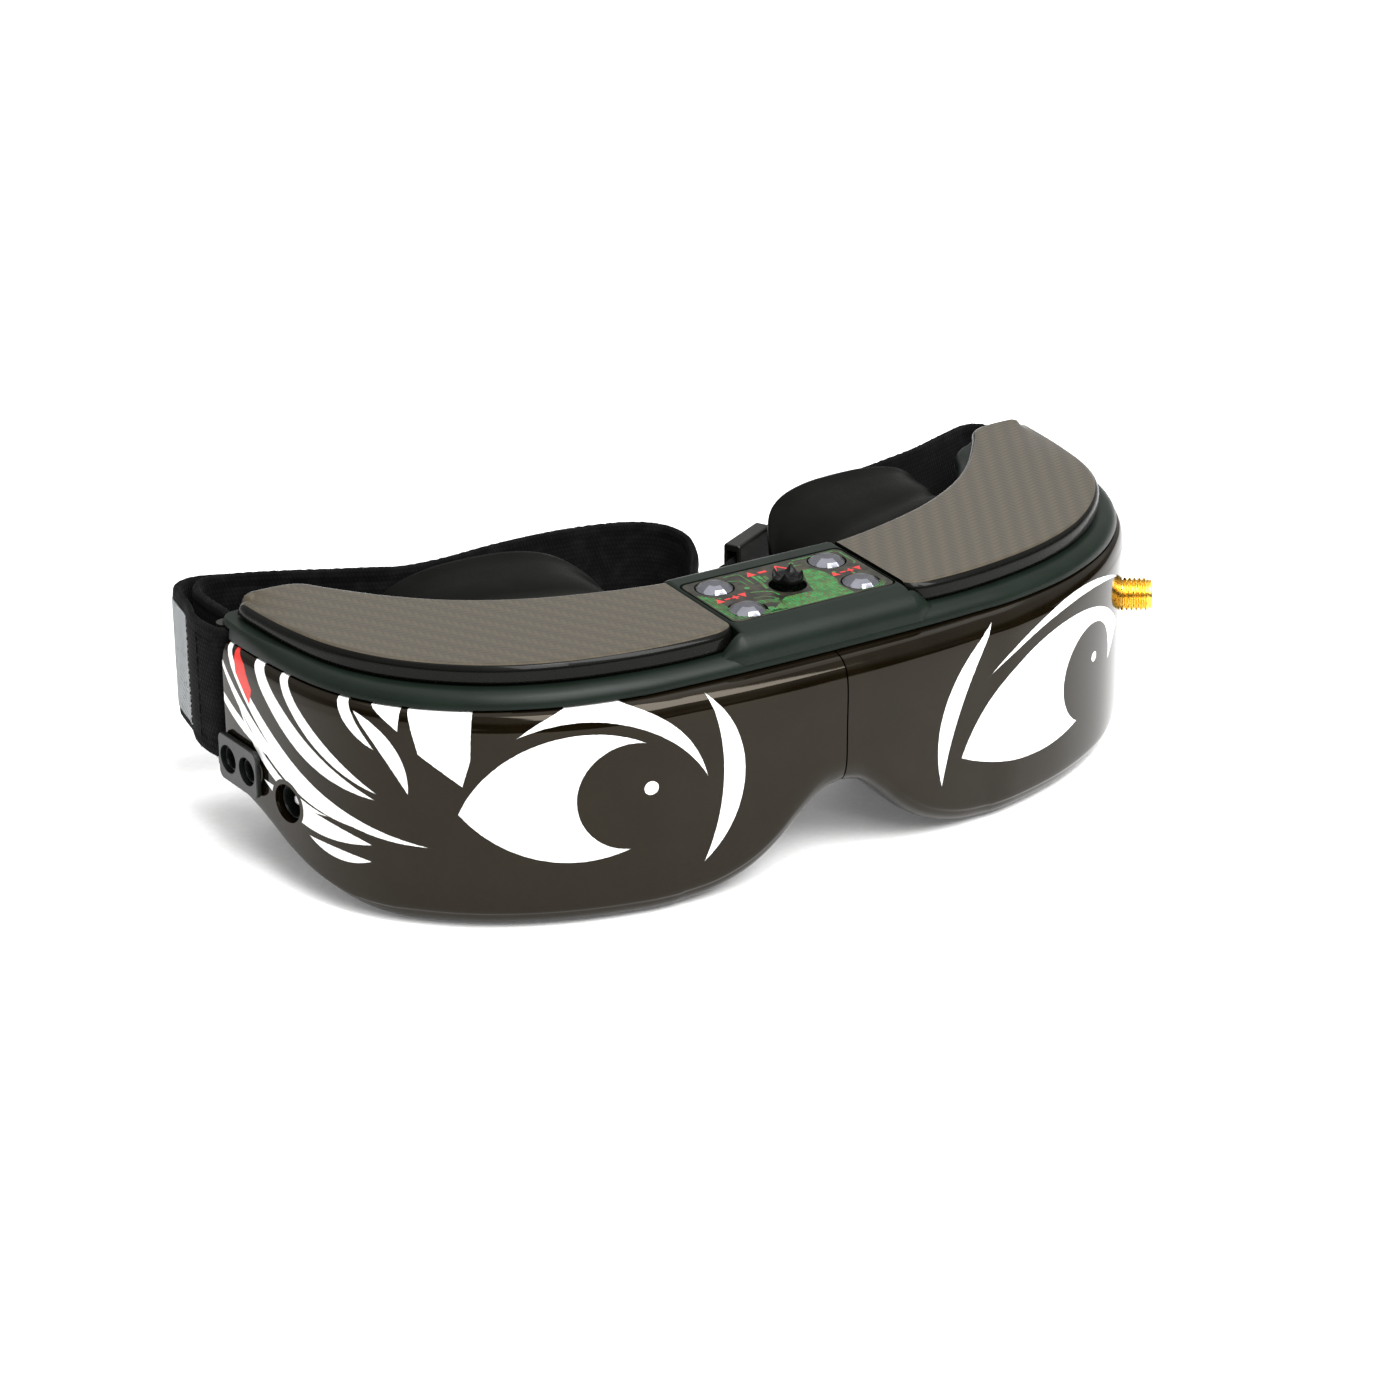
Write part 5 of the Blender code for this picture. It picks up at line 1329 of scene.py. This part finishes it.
def pair(make):
    for side, tag in SIDES:
        make(side, tag)


shells()
top_cover()
bottom_cover()
rear_housing()
pair(bay_cover)
keypad()
joystick()
jack()
sockets()
pair(optics)
pair(eyecup)
strap()
strap_fittings()
plain_nodes()


# ---------------------------------------------------------------- floor, light and camera

def floor():
    """A wide sheet of pale paper."""
    bm = bmesh.new()
    bmesh.ops.create_grid(bm, x_segments=40, y_segments=40, size=3000.0)
    obj = from_bmesh("floor", bm)
    net = Net("paper", (0.86, 0.86, 0.855), 0.9, Specular_IOR_Level=0.1, Emission_Color=(1.0, 1.0, 1.0, 1.0),
              Emission_Strength=0.10)
    fibres = net.noise(0.7, 6.0, roughness=0.65)
    net.set("Base Color", net.blend(net.span(fibres, 0.35, 0.65), (0.84, 0.84, 0.835), (0.89, 0.89, 0.885)))
    net.bump(fibres, 0.25, 0.5)
    obj.data.materials.append(net.material)


# Area lights, all aimed at the origin: place, width and height in metres, and watts.
LIGHTS = {"top_box": ((0.1, 0.25, 1.3), 1.6, 1.2, 7.0),
          "right_box": ((0.27, -0.63, 0.98), 0.48, 0.95, 18.0),
          "left_box": ((-0.17, -0.67, 0.98), 0.30, 0.95, 11.0)}


def area(name, at, width, height, watts):
    light = bpy.data.lights.new(name, "AREA")
    light.shape, light.size, light.size_y, light.energy = "RECTANGLE", width, height, watts
    obj = bpy.data.objects.new(name, light)
    bpy.context.scene.collection.objects.link(obj)
    obj.location = at
    obj.rotation_euler = (-Vector(at)).to_track_quat("-Z", "Y").to_euler()


def world():
    """Plain white light that grows upwards and towards the back."""
    made = bpy.data.worlds.new("studio")
    made.use_nodes = True
    tree = made.node_tree
    background = tree.nodes["Background"]
    part = tree.nodes.new("ShaderNodeSeparateXYZ")
    tree.links.new(tree.nodes.new("ShaderNodeTexCoord").outputs["Generated"], part.inputs[0])
    most = tree.nodes.new("ShaderNodeMath")
    most.operation = "MAXIMUM"
    # For each of up and back: the range of the direction, and the strengths at its two ends.
    for index, (source, values) in enumerate(((2, (0.20, 0.42, 0.025, 0.8)), (1, (-0.1, 0.5, 0.0, 0.55)))):
        ramp = tree.nodes.new("ShaderNodeMapRange")
        for socket, value in enumerate(values, 1):
            ramp.inputs[socket].default_value = value
        tree.links.new(part.outputs[source], ramp.inputs[0])
        tree.links.new(ramp.outputs[0], most.inputs[index])
    background.inputs[0].default_value = (1.0, 1.0, 1.0, 1.0)
    tree.links.new(most.outputs[0], background.inputs[1])
    bpy.context.scene.world = made


def camera():
    """The photograph's view; the lens and the place were fitted to it."""
    data = bpy.data.cameras.new("camera")
    data.sensor_width, data.lens = 36.0, 96.17
    data.clip_start, data.clip_end = 0.01, 20.0
    obj = bpy.data.objects.new("camera", data)
    bpy.context.scene.collection.objects.link(obj)
    right, up, back = (0.85196, -0.52361, 0.0), (0.22022, 0.35832, 0.90726), (-0.47505, -0.77295, 0.42058)
    turn = Matrix((right, up, back)).transposed().to_4x4()
    obj.matrix_world = Matrix.Translation((-0.3252, -0.5001 + SHIFT * MM, 0.3013)) @ turn
    bpy.context.scene.camera = obj


floor()
world()
for light_name, settings in LIGHTS.items():
    area(light_name, *settings)
camera()
bpy.context.scene.view_settings.view_transform = "Standard"
